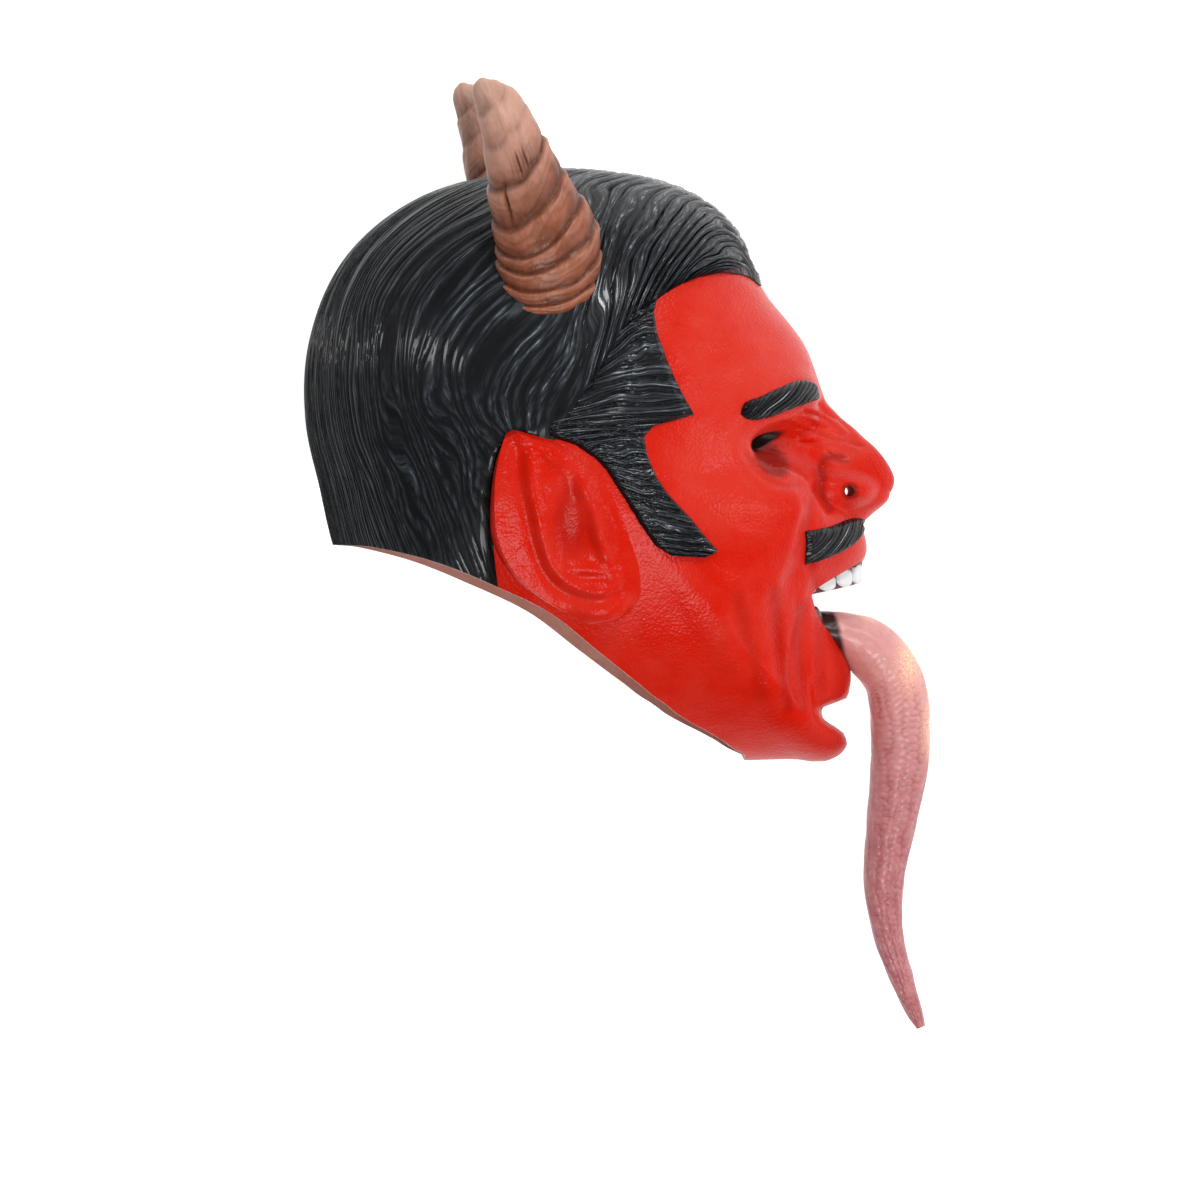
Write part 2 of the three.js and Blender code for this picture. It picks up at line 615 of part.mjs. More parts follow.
function mouthParts() {
  const upper = gum({ front: (y) => archAt(y) - 1.4, depth: 8, half: 29, from: -53, to: -44 });
  const lower = gum({
    front: (y) => 114 - 0.012 * y * y, depth: 12, half: 30, from: -98, to: -86,
  });
  const teeth = range(0, TEETH_PER_SIDE, 1).map((number) => pair(tooth(number)));
  return joined([upper, lower, ...teeth]);
}

// Horn and tongue, both as rings of points along a middle line
function sweptForm(rows, steps, sides, section) {
  const middle = (share) => new THREE.Vector3(...smoothAt(rows, share).slice(0, 3));
  const rings = range(0, steps + 1, 1).map((i) => {
    const share = i / steps;
    const centre = middle(share);
    const ahead = middle(Math.min(1, share + 0.01)).sub(middle(Math.max(0, share - 0.01))).normalize();
    const side = new THREE.Vector3(0, 1, 0).addScaledVector(ahead, -ahead.y).normalize();
    const up = new THREE.Vector3().crossVectors(ahead, side);
    return range(0, sides, 1).map((k) => {
      const turn = (2 * Math.PI * k) / sides;
      const [across, high] = section(share, turn, smoothAt(rows, share));
      return centre.clone().addScaledVector(side, across).addScaledVector(up, high).toArray();
    });
  });
  const { points, index } = closedTube(middle(0).toArray(), rings, middle(1).toArray());
  return solidFrom(points, index);
}

function hornForm() {
  const section = (share, turn, [, , , half]) => {
    const phase = (share - 0.04 * Math.sin(turn)) * HORN_RINGS / 0.78;
    const ringed = smooth(0.9, 0.6, share);
    const step = 1 + 0.09 * ringed * (0.5 - (phase - Math.floor(phase)));
    return [0.82 * half * step * Math.cos(turn), half * step * Math.sin(turn)];
  };
  return sweptForm(HORN, 20, 12, section);
}

function tongueForm(grow = 0) {
  const rows = TONGUE.map(([x, z, thick, wide]) => [x, 0, z, thick, wide]);
  const section = (share, turn, [, , , thick, wide]) => {
    const groove = 0.1 * thick * bump((turn - Math.PI / 2) / 0.5);
    return [(wide + grow) * Math.cos(turn), (thick + grow) * Math.sin(turn) - groove];
  };
  return sweptForm(rows, 22, 12, section);
}

// The worn mask
const raised = joined([crown(), temple(), ears(), frontBand(EYEBROW, EYEBROW_RISE, 7, 3, 1),
  frontBand(MOUSTACHE, MOUSTACHE_RISE, 6, 4, 1)]);
const shell = skin().add(raised).subtract(hollow())
  .subtract(joined([mouthOpening(), eyeOpenings(), nostrils()]))
  .add(mouthParts())
  .subtract(underBottomEdge())
  .subtract(tongueForm(CLEARANCE));
const leftHorn = hornForm().subtract(crown(CLEARANCE).add(hollow()));

// The lying mask: its left side faces down and its face looks along +X, with the crown to +Y
function lyingMatrix() {
  const [turn, lean] = [toRadians(LYING_TURN), toRadians(LYING_LEAN)];
  const down = new THREE.Vector3(
    Math.sin(turn) * Math.cos(lean), Math.cos(turn) * Math.cos(lean), Math.sin(lean));
  const up = down.clone().negate();
  const ahead = new THREE.Vector3(1, 0, 0).addScaledVector(down, -down.x).normalize();
  const crownward = new THREE.Vector3().crossVectors(up, ahead);
  return new THREE.Matrix4().makeTranslation(0, 0, FLOOR_REACH)
    .multiply(new THREE.Matrix4().makeBasis(ahead, crownward, up).transpose());
}

const lying = lyingMatrix();
const floor = new THREE.BoxGeometry(900, 900, 60);
floor.translate(0, 0, -30);
const belowFloor = toSolid(floor);

function piece(name, solid, colour, roughness) {
  const geometry = toGeometry(solid);
  geometry.applyMatrix4(lying);
  const material = new THREE.MeshStandardMaterial({ color: colour, roughness, metalness: 0 });
  const mesh = new THREE.Mesh(toGeometry(toSolid(geometry).subtract(belowFloor)), material);
  mesh.name = name;
  return mesh;
}

const mask = new THREE.Group();
mask.add(piece('mask_shell', shell, 0xc8150c, 0.45));
mask.add(piece('horn_right', mirrored(leftHorn), 0x8a4b33, 0.5));
mask.add(piece('horn_left', leftHorn, 0x8a4b33, 0.5));
mask.add(piece('tongue', tongueForm(), 0xe08a8c, 0.35));
const middle = new THREE.Box3().setFromObject(mask).getCenter(new THREE.Vector3());
mask.children.forEach((mesh) => mesh.geometry.translate(-middle.x, -middle.y, 0));
export default mask;
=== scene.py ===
"""A light-up devil mask of painted latex, lying on its left side on a pale floor.

Every form is worked out in millimetres with the mask upright: +X is where the face looks, +Y is the
mask's own left and +Z is up. laid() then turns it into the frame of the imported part. A place "seen from
the side" is an x and a z as they show from the mask's right, a few degrees behind it.
"""

import math

import bpy
import numpy as np
from mathutils import Matrix, Vector
from mathutils.kdtree import KDTree


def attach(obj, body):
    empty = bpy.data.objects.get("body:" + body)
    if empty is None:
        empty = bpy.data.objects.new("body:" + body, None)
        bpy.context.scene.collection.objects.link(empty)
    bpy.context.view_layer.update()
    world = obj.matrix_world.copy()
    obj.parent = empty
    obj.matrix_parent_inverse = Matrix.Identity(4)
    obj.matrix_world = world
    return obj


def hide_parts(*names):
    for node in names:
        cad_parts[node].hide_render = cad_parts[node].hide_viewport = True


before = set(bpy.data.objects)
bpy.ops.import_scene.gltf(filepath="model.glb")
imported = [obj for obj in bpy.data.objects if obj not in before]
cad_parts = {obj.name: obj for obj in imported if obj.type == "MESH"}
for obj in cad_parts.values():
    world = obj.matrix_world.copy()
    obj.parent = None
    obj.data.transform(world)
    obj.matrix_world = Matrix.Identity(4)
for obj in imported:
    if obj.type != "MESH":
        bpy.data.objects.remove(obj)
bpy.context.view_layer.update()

MM = 0.001

# The head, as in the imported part: half its width, the line through the ears, and how far the carved
# hair stands out and the latex is thick
HALF_WIDTH = 90.0
EAR_X, EAR_Z = -22.0, 0.0
HAIR_RISE = 3.0
WALL = 2.8

# How the mask lies: turned and leaned on its left side, with the floor this far from its middle
LYING_TURN = math.radians(13)
LYING_LEAN = math.radians(5)
FLOOR_REACH = 90.2

# The view: how far behind the right side it is, its distance, the width that fills the picture and
# the height it is aimed at
VIEW_TURN = math.radians(4)
VIEW_AWAY = 15000.0
VIEW_WIDTH = 576.0
VIEW_Z = -67.2

# Side profile over the hair, without nose and lips: x, z and the fullness of the section
PROFILE = [
    (-122, -55, 2.3), (-78, -100, 2.2), (-22, -128, 2), (38, -143, 1.8), (85, -143.5, 1.75),
    (104, -144.5, 1.75), (112, -137, 1.8), (109, -123, 1.9), (107, -110, 1.99), (106, -85, 2.13),
    (106, -68, 2.24), (112, -54, 2.24), (117.5, -42, 2.15), (116, -29, 2.1), (110.5, -12, 2),
    (106.5, 8, 2), (106.3, 32, 2), (99, 54, 2), (90, 67, 2.1), (80, 79, 2.2), (73, 91, 2.3),
    (66, 110, 2.3), (43, 129, 2.3), (0, 139, 2.3), (-48, 137, 2.3), (-90, 124, 2.3), (-122, 97, 2.3),
    (-139, 58, 2.3), (-141, 20, 2.3), (-134, -14, 2.3),
]

# Swellings along the middle of the face: z, how far forward and half the width
NOSE = [
    (-31, 0, 14), (-25.5, 9.5, 20), (-19, 24, 26), (-13, 30.5, 26), (-6.5, 32, 24), (5, 27, 18.5),
    (16, 14.5, 14), (28, 2.6, 10.5), (36, 0, 10),
]
MUZZLE = [(-72, 0, 40), (-62, 5, 40), (-54, 11, 42), (-42, 11, 44), (-28, 8, 44), (-16, 0, 44)]
LOWER_LIP = [
    (-150, 0, 20), (-146, 4, 22), (-141, 6, 24), (-137, 6.9, 26), (-134, 6.8, 27), (-131, 6.2, 27),
    (-128.4, 4, 27), (-126.6, 0, 27), (-125, -1.8, 26), (-121, -2, 26), (-118.6, -1.6, 27),
    (-117.2, 3.6, 28), (-115.6, 9.6, 28), (-112, 12.6, 28), (-103, 14, 32), (-92, 11.4, 34),
    (-76, 5, 37), (-60, 0, 38),
]

# Edges of the hair seen from the side: over the forehead, then on over the temple and down behind
# the ear. The hair ends at an angle behind the neck, and so many locks begin along its middle line
FOREHEAD = [(77, 82.5), (69, 88), (58, 89.5)]
CROWN_EDGE = [
    (58, 89.5), (43, 85.5), (27, 76), (10, 58), (-6, 30), (-20, 10), (-35, 8), (-45, 2),
    (-51, -14), (-51, -40), (-47, -75),
]
NAPE_ANGLE = 203.0
LOCKS = 57

# Temple hair and sideburn from the top down: x and z of its front edge, then x and z behind
TEMPLE = [
    (27.5, 78, 17, 72), (25.5, 70, 12, 64), (27, 60, 7, 56), (33, 43.5, 0, 44), (39, 31, -6, 33),
    (44.6, 21.2, -17, 23), (25.4, 15.8, -22, 11), (20.8, 10.8, -12, 6), (22.2, 2, -3, 0), (26.6, -8.6, 2, -5),
    (32.4, -17, 6, -11.5), (43.2, -28.4, 12, -21), (50, -37, 18, -31), (56.3, -44, 25, -41),
    (50, -46.8, 33, -45.8),
]

# Eyebrow and moustache seen from the front: y, z of the lower edge and z of the upper edge
EYEBROW = [
    (27, 29.2, 34.6), (33, 28.2, 37.4), (41, 26.4, 37.8), (51, 22.6, 34.8), (59.5, 19.4, 30.2),
    (63.4, 18.9, 28.4), (65.6, 19.6, 26.8), (66.8, 21.6, 24.6),
]
MOUSTACHE = [
    (5, -33.6, -28.6), (14, -36, -28), (24, -41, -29), (34, -45.6, -31.4), (42, -48.3, -33),
    (49, -50.3, -34.5),
]

# The ear seen from the side: x and z in front, x and z behind. Then the paths of its ridges and
# grooves, each with its height and half width
EAR = [
    (-43, 15, -44, 14.5), (-21, 10, -50, -3), (-1, -1, -52.5, -24), (12, -18, -51, -40),
    (19, -36, -42, -55), (23, -52, -28, -66), (21, -67, -12, -74), (8, -79, 0, -78.5),
]
EAR_FOLDS = [
    ([(-37, 13), (-46, 2), (-50, -20), (-49, -38), (-41, -53), (-28, -64), (-12, -71),
      (2, -72)], 1.8, 6.5),
    ([(-40, 5), (-38.6, -10), (-34.6, -26), (-30.6, -43), (-24, -56), (-14.4, -63), (-1.6, -65.4),
      (9.6, -61)], -1.2, 2.8),
    ([(-33, 2), (-32.8, -11), (-29.6, -26), (-26.4, -40), (-21.6, -51), (-12.8, -58.4), (-1.6, -60.2),
      (8, -58.4)], 2.2, 3.4),
    ([(-36, 13), (-19, 8.5), (-7.5, 1), (-5.5, -5), (-7.7, -14.4)], 2.6, 4.6),
    ([(-25, 0), (-17, -8), (-12, -18)], -1.6, 4.0),
    ([(-14, -50.6), (-3, -52), (7, -54)], 1.7, 3.0),
    ([(-3, -24), (-0.5, -36), (3, -46)], 2.6, 4.0),
]

# The mouth seen from the front: half its width, and z of the upper lip, the corners and the lower lip
MOUTH_HALF_WIDTH = 34.0
LIP_TOP, LIP_CORNER, LIP_BOTTOM = -48.0, -65.0, -92.0

# An eye opening seen from the front: y, z, half the width, half the height, and how far it slants
EYE_Y, EYE_Z, EYE_HALF_WIDTH, EYE_HALF_HEIGHT, EYE_SLANT = 45, 8.5, 9, 3.6, 0.25

# The nostril seen from the side: x, z and radius
NOSTRIL = (118.5, -15, 2.6)

# Upper teeth: x of the front ones, then a tooth's width, the spacing and z of the hidden upper end
TOOTH_FRONT = 126.9
TOOTH_WIDTH = 7.2
TOOTH_SPACING = 8.9
TOOTH_TOP = -46
TEETH_PER_SIDE = 4

# The trimmed edge under the hair, the ear and the jaw, seen from the side: x and z
BOTTOM_EDGE = [
    (-125.8, -40.8), (-111, -42.2), (-84, -49), (-55.5, -60.5), (-29, -73.4), (-5.5, -91.5),
    (14, -106.6), (34, -121.4), (54, -133), (69, -141.2),
]

# Middle line of the left horn from inside its base up: x, y, z and half the width. Then how far along
# it each groove lies
HORN = [
    (-26, 62, 66, 26.5), (-28.7, 67, 84, 25.3), (-30.8, 72, 101, 24), (-37, 75, 118, 20.2),
    (-42.2, 76, 132, 17), (-46.3, 76, 145, 14), (-53.8, 74, 166, 10), (-60.4, 71.5, 177, 6.4),
    (-62.3, 70.5, 182, 4),
]
HORN_GROOVES = [0, 6, 13, 23.5, 32.5, 47, 64, 84, 101, 140]

# Middle line of the tongue from inside the mouth: x, z, half the thickness and half the width
TONGUE = [
    (86, -84, 8, 15), (101, -82, 9, 16.5), (116, -83, 10.6, 18), (130, -90, 14, 18.5),
    (142, -106, 14.5, 18), (145, -126, 14.6, 17), (144.5, -148, 14, 15.5), (141, -172, 12.3, 13.5),
    (137, -200, 9.9, 11), (138.5, -225, 7.5, 8.5), (145, -248, 5.6, 6.3), (151, -264, 4, 4.4),
    (154.5, -272.5, 2, 2.2),
]

# The lit patches of the tongue: brightness, x, z and how far each spreads in x and z
TONGUE_GLOW = [(0.2, 130, -74, 8, 5), (0.65, 148, -97, 6, 12), (0.75, 160, -128, 5, 13)]

# Where the upright frame's origin, level with the ears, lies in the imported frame
LAID_ORIGIN = (-8.28773, 43.57937, FLOOR_REACH)


# Arithmetic that several forms share
def smooth(start, end, value):
    t = np.clip((np.asarray(value, float) - start) / (end - start), 0, 1)
    return t * t * (3 - 2 * t)


def bump(*offsets):
    left = 1 - sum(np.asarray(offset, float) ** 2 for offset in offsets)
    return np.where(left > 0, left, 0) ** 2


def crest(phase, roundness=0.65):
    """1 on a strand and 0 in the groove at every whole number."""
    return np.abs(np.sin(np.pi * phase)) ** roundness


def wander(seed, u, v):
    """Smooth values from -1 to 1 that change over about one unit of u and v."""
    size = 128
    table = np.random.default_rng(seed).uniform(-1, 1, (size, size))
    u, v = np.broadcast_arrays(np.asarray(u, float), np.asarray(v, float))
    i, j = np.floor(u).astype(int), np.floor(v).astype(int)
    fu, fv = smooth(0, 1, u - i), smooth(0, 1, v - j)

    def corner(a, b):
        return table[(i + a) % size, (j + b) % size]

    low = corner(0, 0) * (1 - fu) + corner(1, 0) * fu
    return low * (1 - fv) + (corner(0, 1) * (1 - fu) + corner(1, 1) * fu) * fv


def row_at(rows, key):
    """A smooth curve through keyed rows whose first column rises."""
    rows = np.asarray(rows, float)
    key = np.clip(np.asarray(key, float), rows[0, 0], rows[-1, 0])
    i = np.clip(np.searchsorted(rows[:, 0], key, side="right") - 1, 0, len(rows) - 2)
    before, a, b, after = (rows[np.clip(i + k, 0, len(rows) - 1)] for k in (-1, 0, 1, 2))
    span = b[..., :1] - a[..., :1]
    f = (key[..., None] - a[..., :1]) / span
    slope_a = (b - before) / (b[..., :1] - before[..., :1])
    slope_b = (after - a) / (after[..., :1] - a[..., :1])
    curve = ((2 * f**3 - 3 * f**2 + 1) * a + (f**3 - 2 * f**2 + f) * span * slope_a
             + (3 * f**2 - 2 * f**3) * b + (f**3 - f**2) * span * slope_b)
    return curve[..., 1:]


def smooth_at(rows, share):
    numbered = [(i, *row) for i, row in enumerate(rows)]
    return row_at(numbered, np.asarray(share, float) * (len(rows) - 1))


def straight_at(rows, share):
    place = np.clip(share, 0, 1) * (len(rows) - 1)
    return np.stack([np.interp(place, range(len(rows)), column) for column in zip(*rows)], -1)


def distance_to_path(path, x, z):
    nearest = np.full(np.broadcast(x, z).shape, np.inf)
    path = smooth_at(path, np.linspace(0, 1, 5 * len(path)))
    for (ax, az), (bx, bz) in zip(path, path[1:]):
        dx, dz = bx - ax, bz - az
        t = np.clip(((x - ax) * dx + (z - az) * dz) / (dx * dx + dz * dz), 0, 1)
        nearest = np.minimum(nearest, np.hypot(x - ax - t * dx, z - az - t * dz))
    return nearest


# The head's surface. A place on it is an angle round the ear axis, 0 at the face and 90 at the
# crown, and a turn from 0 in the middle to 90 at the left ear, both in degrees.
def polar_profile():
    rows = sorted((math.degrees(math.atan2(z - EAR_Z, x - EAR_X)), math.hypot(x - EAR_X, z - EAR_Z),
                   fullness) for x, z, fullness in PROFILE)
    turned = {by: [(angle + by, *rest) for angle, *rest in rows] for by in (-360, 360)}
    return np.array(turned[-360][-2:] + rows + turned[360])


POLAR = polar_profile()


def under_hair(angle):
    return smooth(38, 50, angle) * smooth(225, 205, angle)


def profile_at(angle):
    radius, fullness = np.moveaxis(row_at(POLAR, angle), -1, 0)
    return radius - HAIR_RISE * under_hair(angle), fullness


def swelling(rows, roundness, side, z):
    amount, half = np.moveaxis(row_at(rows, z), -1, 0)
    return amount * np.maximum(0, 1 - (side / half) ** 2) ** roundness


def lower_lip(side, z):
    return swelling(LOWER_LIP, 1.2, side, z)


def shape_face(points):
    """Pushes the nose, the lips and the soft forms of the face forward, back, out or in."""
    x, y, z = np.moveaxis(points, -1, 0)
    side, face = np.abs(y), x >= 20
    forward = (swelling(NOSE, 1.25, side, z) + swelling(MUZZLE, 2, side, z)
               + lower_lip(side, z)
               + 3.5 * bump((side - 36) / 30, (z - 33) / 14)    # ridge of the brow
               - 15.5 * bump((side - 37) / 27, (z - 6) / 17)    # socket of the eye
               + 3 * bump((side - 49) / 15, (z + 2.5) / 8)      # bag under the eye
               - 6.5 * bump((side - 52) / 21, (z - 6) / 17)     # its outer corner
               + 5 * bump((side - 56) / 26, (z + 17) / 20)      # cheekbone
               - 4 * bump((side - 60) / 22, (z + 95) / 36)      # hollow cheek by the jaw
               - 3.6 * bump((side - 49) / 10, (z + 45) / 46)    # fold from nose to mouth
               - 3.2 * bump((side - 39) / 9, (z + 98) / 34))    # fold beside the lower lip
    wing = bump((side - 20) / 10, (z + 14) / 11)
    temple = bump((side - 78) / 24, (z - 42) / 40) * smooth(30, 60, x)
    out = 5 * wing - 3 * temple
    return np.stack([x + face * (forward + 4 * wing), y + face * np.sign(y) * out, z], -1)


def on_head(angle, turn):
    radius, fullness = profile_at(angle)
    across, along = np.sin(np.radians(turn)), np.maximum(np.cos(np.radians(turn)), 0)
    reach = radius * along ** (2 / fullness)
    return shape_face(np.stack([
        EAR_X + reach * np.cos(np.radians(angle)),
        HALF_WIDTH * np.sign(across) * np.abs(across) ** (2 / fullness),
        EAR_Z + reach * np.sin(np.radians(angle)),
    ], -1))


def level_with(x, z):
    """The place on the left half that is level with x and z."""
    dx, dz = x - EAR_X, z - EAR_Z
    angle = np.degrees(np.arctan2(dz, dx))
    angle = np.where(angle < -75, angle + 360, angle)
    radius, fullness = profile_at(angle)
    along = np.minimum(1, np.hypot(dx, dz) / radius) ** (fullness / 2)
    return angle, np.degrees(np.arccos(along))


def from_side(x, z):
    """The place on the left half that is seen at x and z from the side."""
    angle, turn = level_with(x, z)
    width = HALF_WIDTH * np.sin(np.radians(turn)) ** (2 / profile_at(angle)[1])
    return level_with(x - width * math.tan(VIEW_TURN), z)


def from_front(y, z):
    """The place on the face that is seen at y and z from the front."""
    low, high = np.full(np.shape(y), -55.0), np.full(np.shape(y), 60.0)

    def turn_at(fullness):
        return np.degrees(np.arcsin((np.abs(y) / HALF_WIDTH) ** (fullness / 2)))

    for _ in range(30):
        angle = (low + high) / 2
        radius, fullness = profile_at(angle)
        reach = radius * np.cos(np.radians(turn_at(fullness))) ** (2 / fullness)
        below = reach * np.sin(np.radians(angle)) < z
        low, high = np.where(below, angle, low), np.where(below, high, angle)
    return low, np.sign(y) * turn_at(profile_at(low)[1])


def seen_from_side(points):
    return points[..., 0] + np.abs(points[..., 1]) * math.tan(VIEW_TURN), points[..., 2]


# Meshes, as places and lists of the corners of their faces
def outward(points, quads):
    """Normals at the places of a closed or open form, pointing away from the ear axis."""
    a, b, c, d = (points[quads[:, k]] for k in range(4))
    face = np.cross(c - a, d - b)
    normals = np.zeros_like(points)
    for k in range(4):
        np.add.at(normals, quads[:, k], face)
    normals /= np.maximum(np.linalg.norm(normals, axis=1, keepdims=True), 1e-9)
    away = points - (EAR_X, 0, EAR_Z)
    return normals * np.sign((normals * away).sum())


def grid_quads(at):
    return np.stack([at[:-1, :-1], at[:-1, 1:], at[1:, 1:], at[1:, :-1]], -1).reshape(-1, 4)


def turned_out(points, faces):
    """The faces of a closed form, all turned over if they point inwards."""
    a, b, c = (points[[face[k] for face in faces]] for k in range(3))
    fourth = points[[face[-1] for face in faces]]
    volume = (a * np.cross(b, c)).sum() + (a * np.cross(c, fourth)).sum()
    return faces if volume > 0 else [face[::-1] for face in faces]


def closed_sheet(places, height, sunk=1.0):
    """A sheet over the head: a fine top, an underside of every fifth place, and a wall between."""
    every = 5
    rows, columns = places.shape[:2]
    flat = places.reshape(-1, 3)
    at = np.arange(rows * columns).reshape(rows, columns)
    top = grid_quads(at)
    normals = outward(flat, top)
    picked = at[::every, ::every]
    low = flat[picked.ravel()] - normals[picked.ravel()] * sunk
    under = rows * columns + np.arange(picked.size).reshape(picked.shape)

    def border(grid):
        return np.concatenate([grid[0, :-1], grid[:-1, -1], grid[-1, :0:-1], grid[:0:-1, 0]])

    fine, coarse = border(at), border(under)
    first = np.repeat(coarse, every)
    walls = np.stack([np.roll(fine, -1), fine, first], -1)
    joins = np.stack([coarse, np.roll(coarse, -1), np.roll(fine[::every], -1)], -1)
    points = np.concatenate([flat + normals * height.reshape(-1, 1), low])
    faces = [*top.tolist(), *grid_quads(under)[:, ::-1].tolist(), *walls.tolist(), *joins.tolist()]
    return points, turned_out(points, faces)


def closed_tube(rings, start, end):
    """Closed rings with equally many places, with a point at each end."""
    count, sides = rings.shape[:2]
    points = np.concatenate([rings.reshape(-1, 3), [start, end]])
    at = np.arange(count * sides).reshape(count, sides)
    around = grid_quads(np.concatenate([at, at[:, :1]], 1))
    first, last = count * sides, count * sides + 1
    caps = [[first, a, b] for a, b in zip(at[0], np.roll(at[0], -1))]
    caps += [[last, b, a] for a, b in zip(at[-1], np.roll(at[-1], -1))]
    faces = [*around[:, ::-1].tolist(), *[[int(k) for k in face] for face in caps]]
    return points, around, faces


def prism(outline, view, start, end):
    """An outline in two axes pushed through along the third: 'side' along y, 'front' along x."""
    outline = np.asarray(outline, float)
    u, v = outline.T
    ends = []
    for depth in (start, end):
        through = np.full(len(outline), float(depth))
        ends.append(np.stack([u, through, v] if view == "side" else [through, u, v], -1))
    points = np.concatenate(ends)
    count = len(outline)
    walls = [[k, (k + 1) % count, count + (k + 1) % count, count + k] for k in range(count)]
    caps = [list(range(count))[::-1], list(range(count, 2 * count))]
    area = (u * np.roll(v, -1) - v * np.roll(u, -1)).sum()
    faces = walls + caps
    flip = (area > 0) == (view == "side")
    return points, [face[::-1] for face in faces] if flip else faces


def mirrored(points, faces):
    return points * (1, -1, 1), [face[::-1] for face in faces]


def lying_axes():
    turn, lean = LYING_TURN, LYING_LEAN
    down = np.array([math.sin(turn) * math.cos(lean), math.cos(turn) * math.cos(lean), math.sin(lean)])
    ahead = np.array([1.0, 0, 0]) - down[0] * down
    ahead /= np.linalg.norm(ahead)
    return np.stack([ahead, np.cross(-down, ahead), -down])


LYING_AXES = lying_axes()


def turned_down(points):
    """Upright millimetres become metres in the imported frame."""
    return (points @ LYING_AXES.T + LAID_ORIGIN) * MM


def laid(points):
    """The same, with what reaches the floor pressed flat on it."""
    lying = turned_down(points)
    lying[..., 2] = np.maximum(lying[..., 2], 0)
    return lying


def cut(points, faces, cutters):
    """A closed form less others. The new faces along the cuts have 1 as their material index."""
    made = []
    side_marks = [bpy.data.materials.new(name) for name in ("kept_side", "cut_side")]
    for form, index in [((points, faces), 0), *((cutter, 1) for cutter in cutters)]:
        mesh = bpy.data.meshes.new("form")
        mesh.from_pydata(form[0].tolist(), [], form[1])
        for mark in side_marks:
            mesh.materials.append(mark)
        mesh.polygons.foreach_set("material_index", np.full(len(mesh.polygons), index, np.int32))
        made.append(bpy.data.objects.new("form", mesh))
        bpy.context.scene.collection.objects.link(made[-1])
    for cutter in made[1:]:
        modifier = made[0].modifiers.new("cut", "BOOLEAN")
        modifier.operation, modifier.solver, modifier.object = "DIFFERENCE", "MANIFOLD", cutter
    result = made[0].evaluated_get(bpy.context.evaluated_depsgraph_get()).to_mesh()
    places = np.zeros(len(result.vertices) * 3)
    result.vertices.foreach_get("co", places)
    sides = [list(face.vertices) for face in result.polygons]
    paints = [face.material_index for face in result.polygons]
    for form in made:
        mesh = form.data
        bpy.data.objects.remove(form)
        bpy.data.meshes.remove(mesh)
    for mark in side_marks:
        bpy.data.materials.remove(mark)
    return places.reshape(-1, 3), sides, paints


def piece(name, points, faces, paints, node="mask_shell", paint_of=None, **values):
    """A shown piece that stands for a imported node, with one value a place for each named mask."""
    mesh = bpy.data.meshes.new(name)
    mesh.from_pydata(laid(points).tolist(), [], faces)
    for material in paints:
        mesh.materials.append(material)
    if paint_of is not None:
        mesh.polygons.foreach_set("material_index", np.asarray(paint_of, np.int32))
    mesh.shade_smooth()
    mesh.set_sharp_from_angle(angle=math.radians(45))
    for key, value in values.items():
        kind, field = ("FLOAT", "value") if value.ndim == 1 else ("FLOAT_VECTOR", "vector")
        mesh.attributes.new(key, kind, "POINT").data.foreach_set(field, value.astype(np.float32).ravel())
    made = bpy.data.objects.new(name, mesh)
    bpy.context.scene.collection.objects.link(made)
    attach(made, "root")
    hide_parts(node)


def nearest_values(points, wanted, values):
    """Values of a form's places, found again at the places of the form that was cut from it."""
    tree = KDTree(len(points))
    for k, point in enumerate(points):
        tree.insert(point, k)
    tree.balance()
    nearest = np.array([tree.find(point)[1] for point in wanted])
    return {key: value[nearest] for key, value in values.items()}


def both_sides(name, points, faces, material, node="mask_shell", cutters=(), **values):
    """A left piece and its mirror image, less the cutters. A {} in a name takes the side's name."""
    for side, form in (("left", (points, faces)), ("right", mirrored(points, faces))):
        found = values
        if cutters:
            whole, form = form[0], cut(*form, cutters)[:2]
            found = nearest_values(whole, form[0], values)
        piece(name.format(side), *form, [material], node=node.format(side), **found)


def with_under(points, **values):
    """Values of a sheet's top, each with a plain 0 for its underside."""
    padded = {}
    for key, value in values.items():
        flat = value.reshape(-1, *value.shape[2:])
        padded[key] = np.concatenate([flat, np.zeros((len(points) - len(flat), *flat.shape[1:]))])
    return padded


# Colours of the paints
RED, DEEP_RED, PALE_BLOTCH_AND_HIGHLIGHT_RED = (0.6, 0.009, 0.001, 1), (0.14, 0.002, 0.001, 1), (0.66, 0.06, 0.04, 1)
EYE_OPENING_SHADE, INNER_SHADE_DARK, LIP_RED = (0.012, 0.002, 0.002, 1), (0.012, 0.004, 0.004, 1), (0.5, 0.008, 0.006, 1)
BARE, BARE_STAIN = (0.74, 0.42, 0.35, 1), (0.6, 0.28, 0.22, 1)
GROOVE_SHADE_BLACK, HAIR_BLUE_BLACK = (0.001, 0.001, 0.0015, 1), (0.007, 0.008, 0.0105, 1)
GREY_BRUSH_AND_SHEEN, GLINT_GREY = (0.09, 0.108, 0.126, 1), (0.45, 0.5, 0.53, 1)
TERRACOTTA, LIGHT_TERRACOTTA = (0.22, 0.064, 0.029, 1), (0.32, 0.103, 0.054, 1)
HORN_HIGHLIGHT_TAN, HORN_TIP, HORN_GROOVE_SHADE = (0.56, 0.25, 0.165, 1), (0.82, 0.5, 0.39, 1), (0.075, 0.019, 0.008, 1)
PINK, ROOT_PINK, PALE_PINK = (0.43, 0.14, 0.15, 1), (0.7, 0.33, 0.31, 1), (0.62, 0.27, 0.26, 1)
SCALLOP_SHADE_PINK, TONGUE_ROOT_SHADE, LAMP_GLOW = (0.36, 0.08, 0.09, 1), (0.02, 0.003, 0.003, 1), (0.75, 0.5, 0.2, 1)
ENAMEL, OLD_ENAMEL, TOOTH_ROOT = (0.74, 0.76, 0.76, 1), (0.62, 0.6, 0.56, 1), (0.06, 0.004, 0.004, 1)
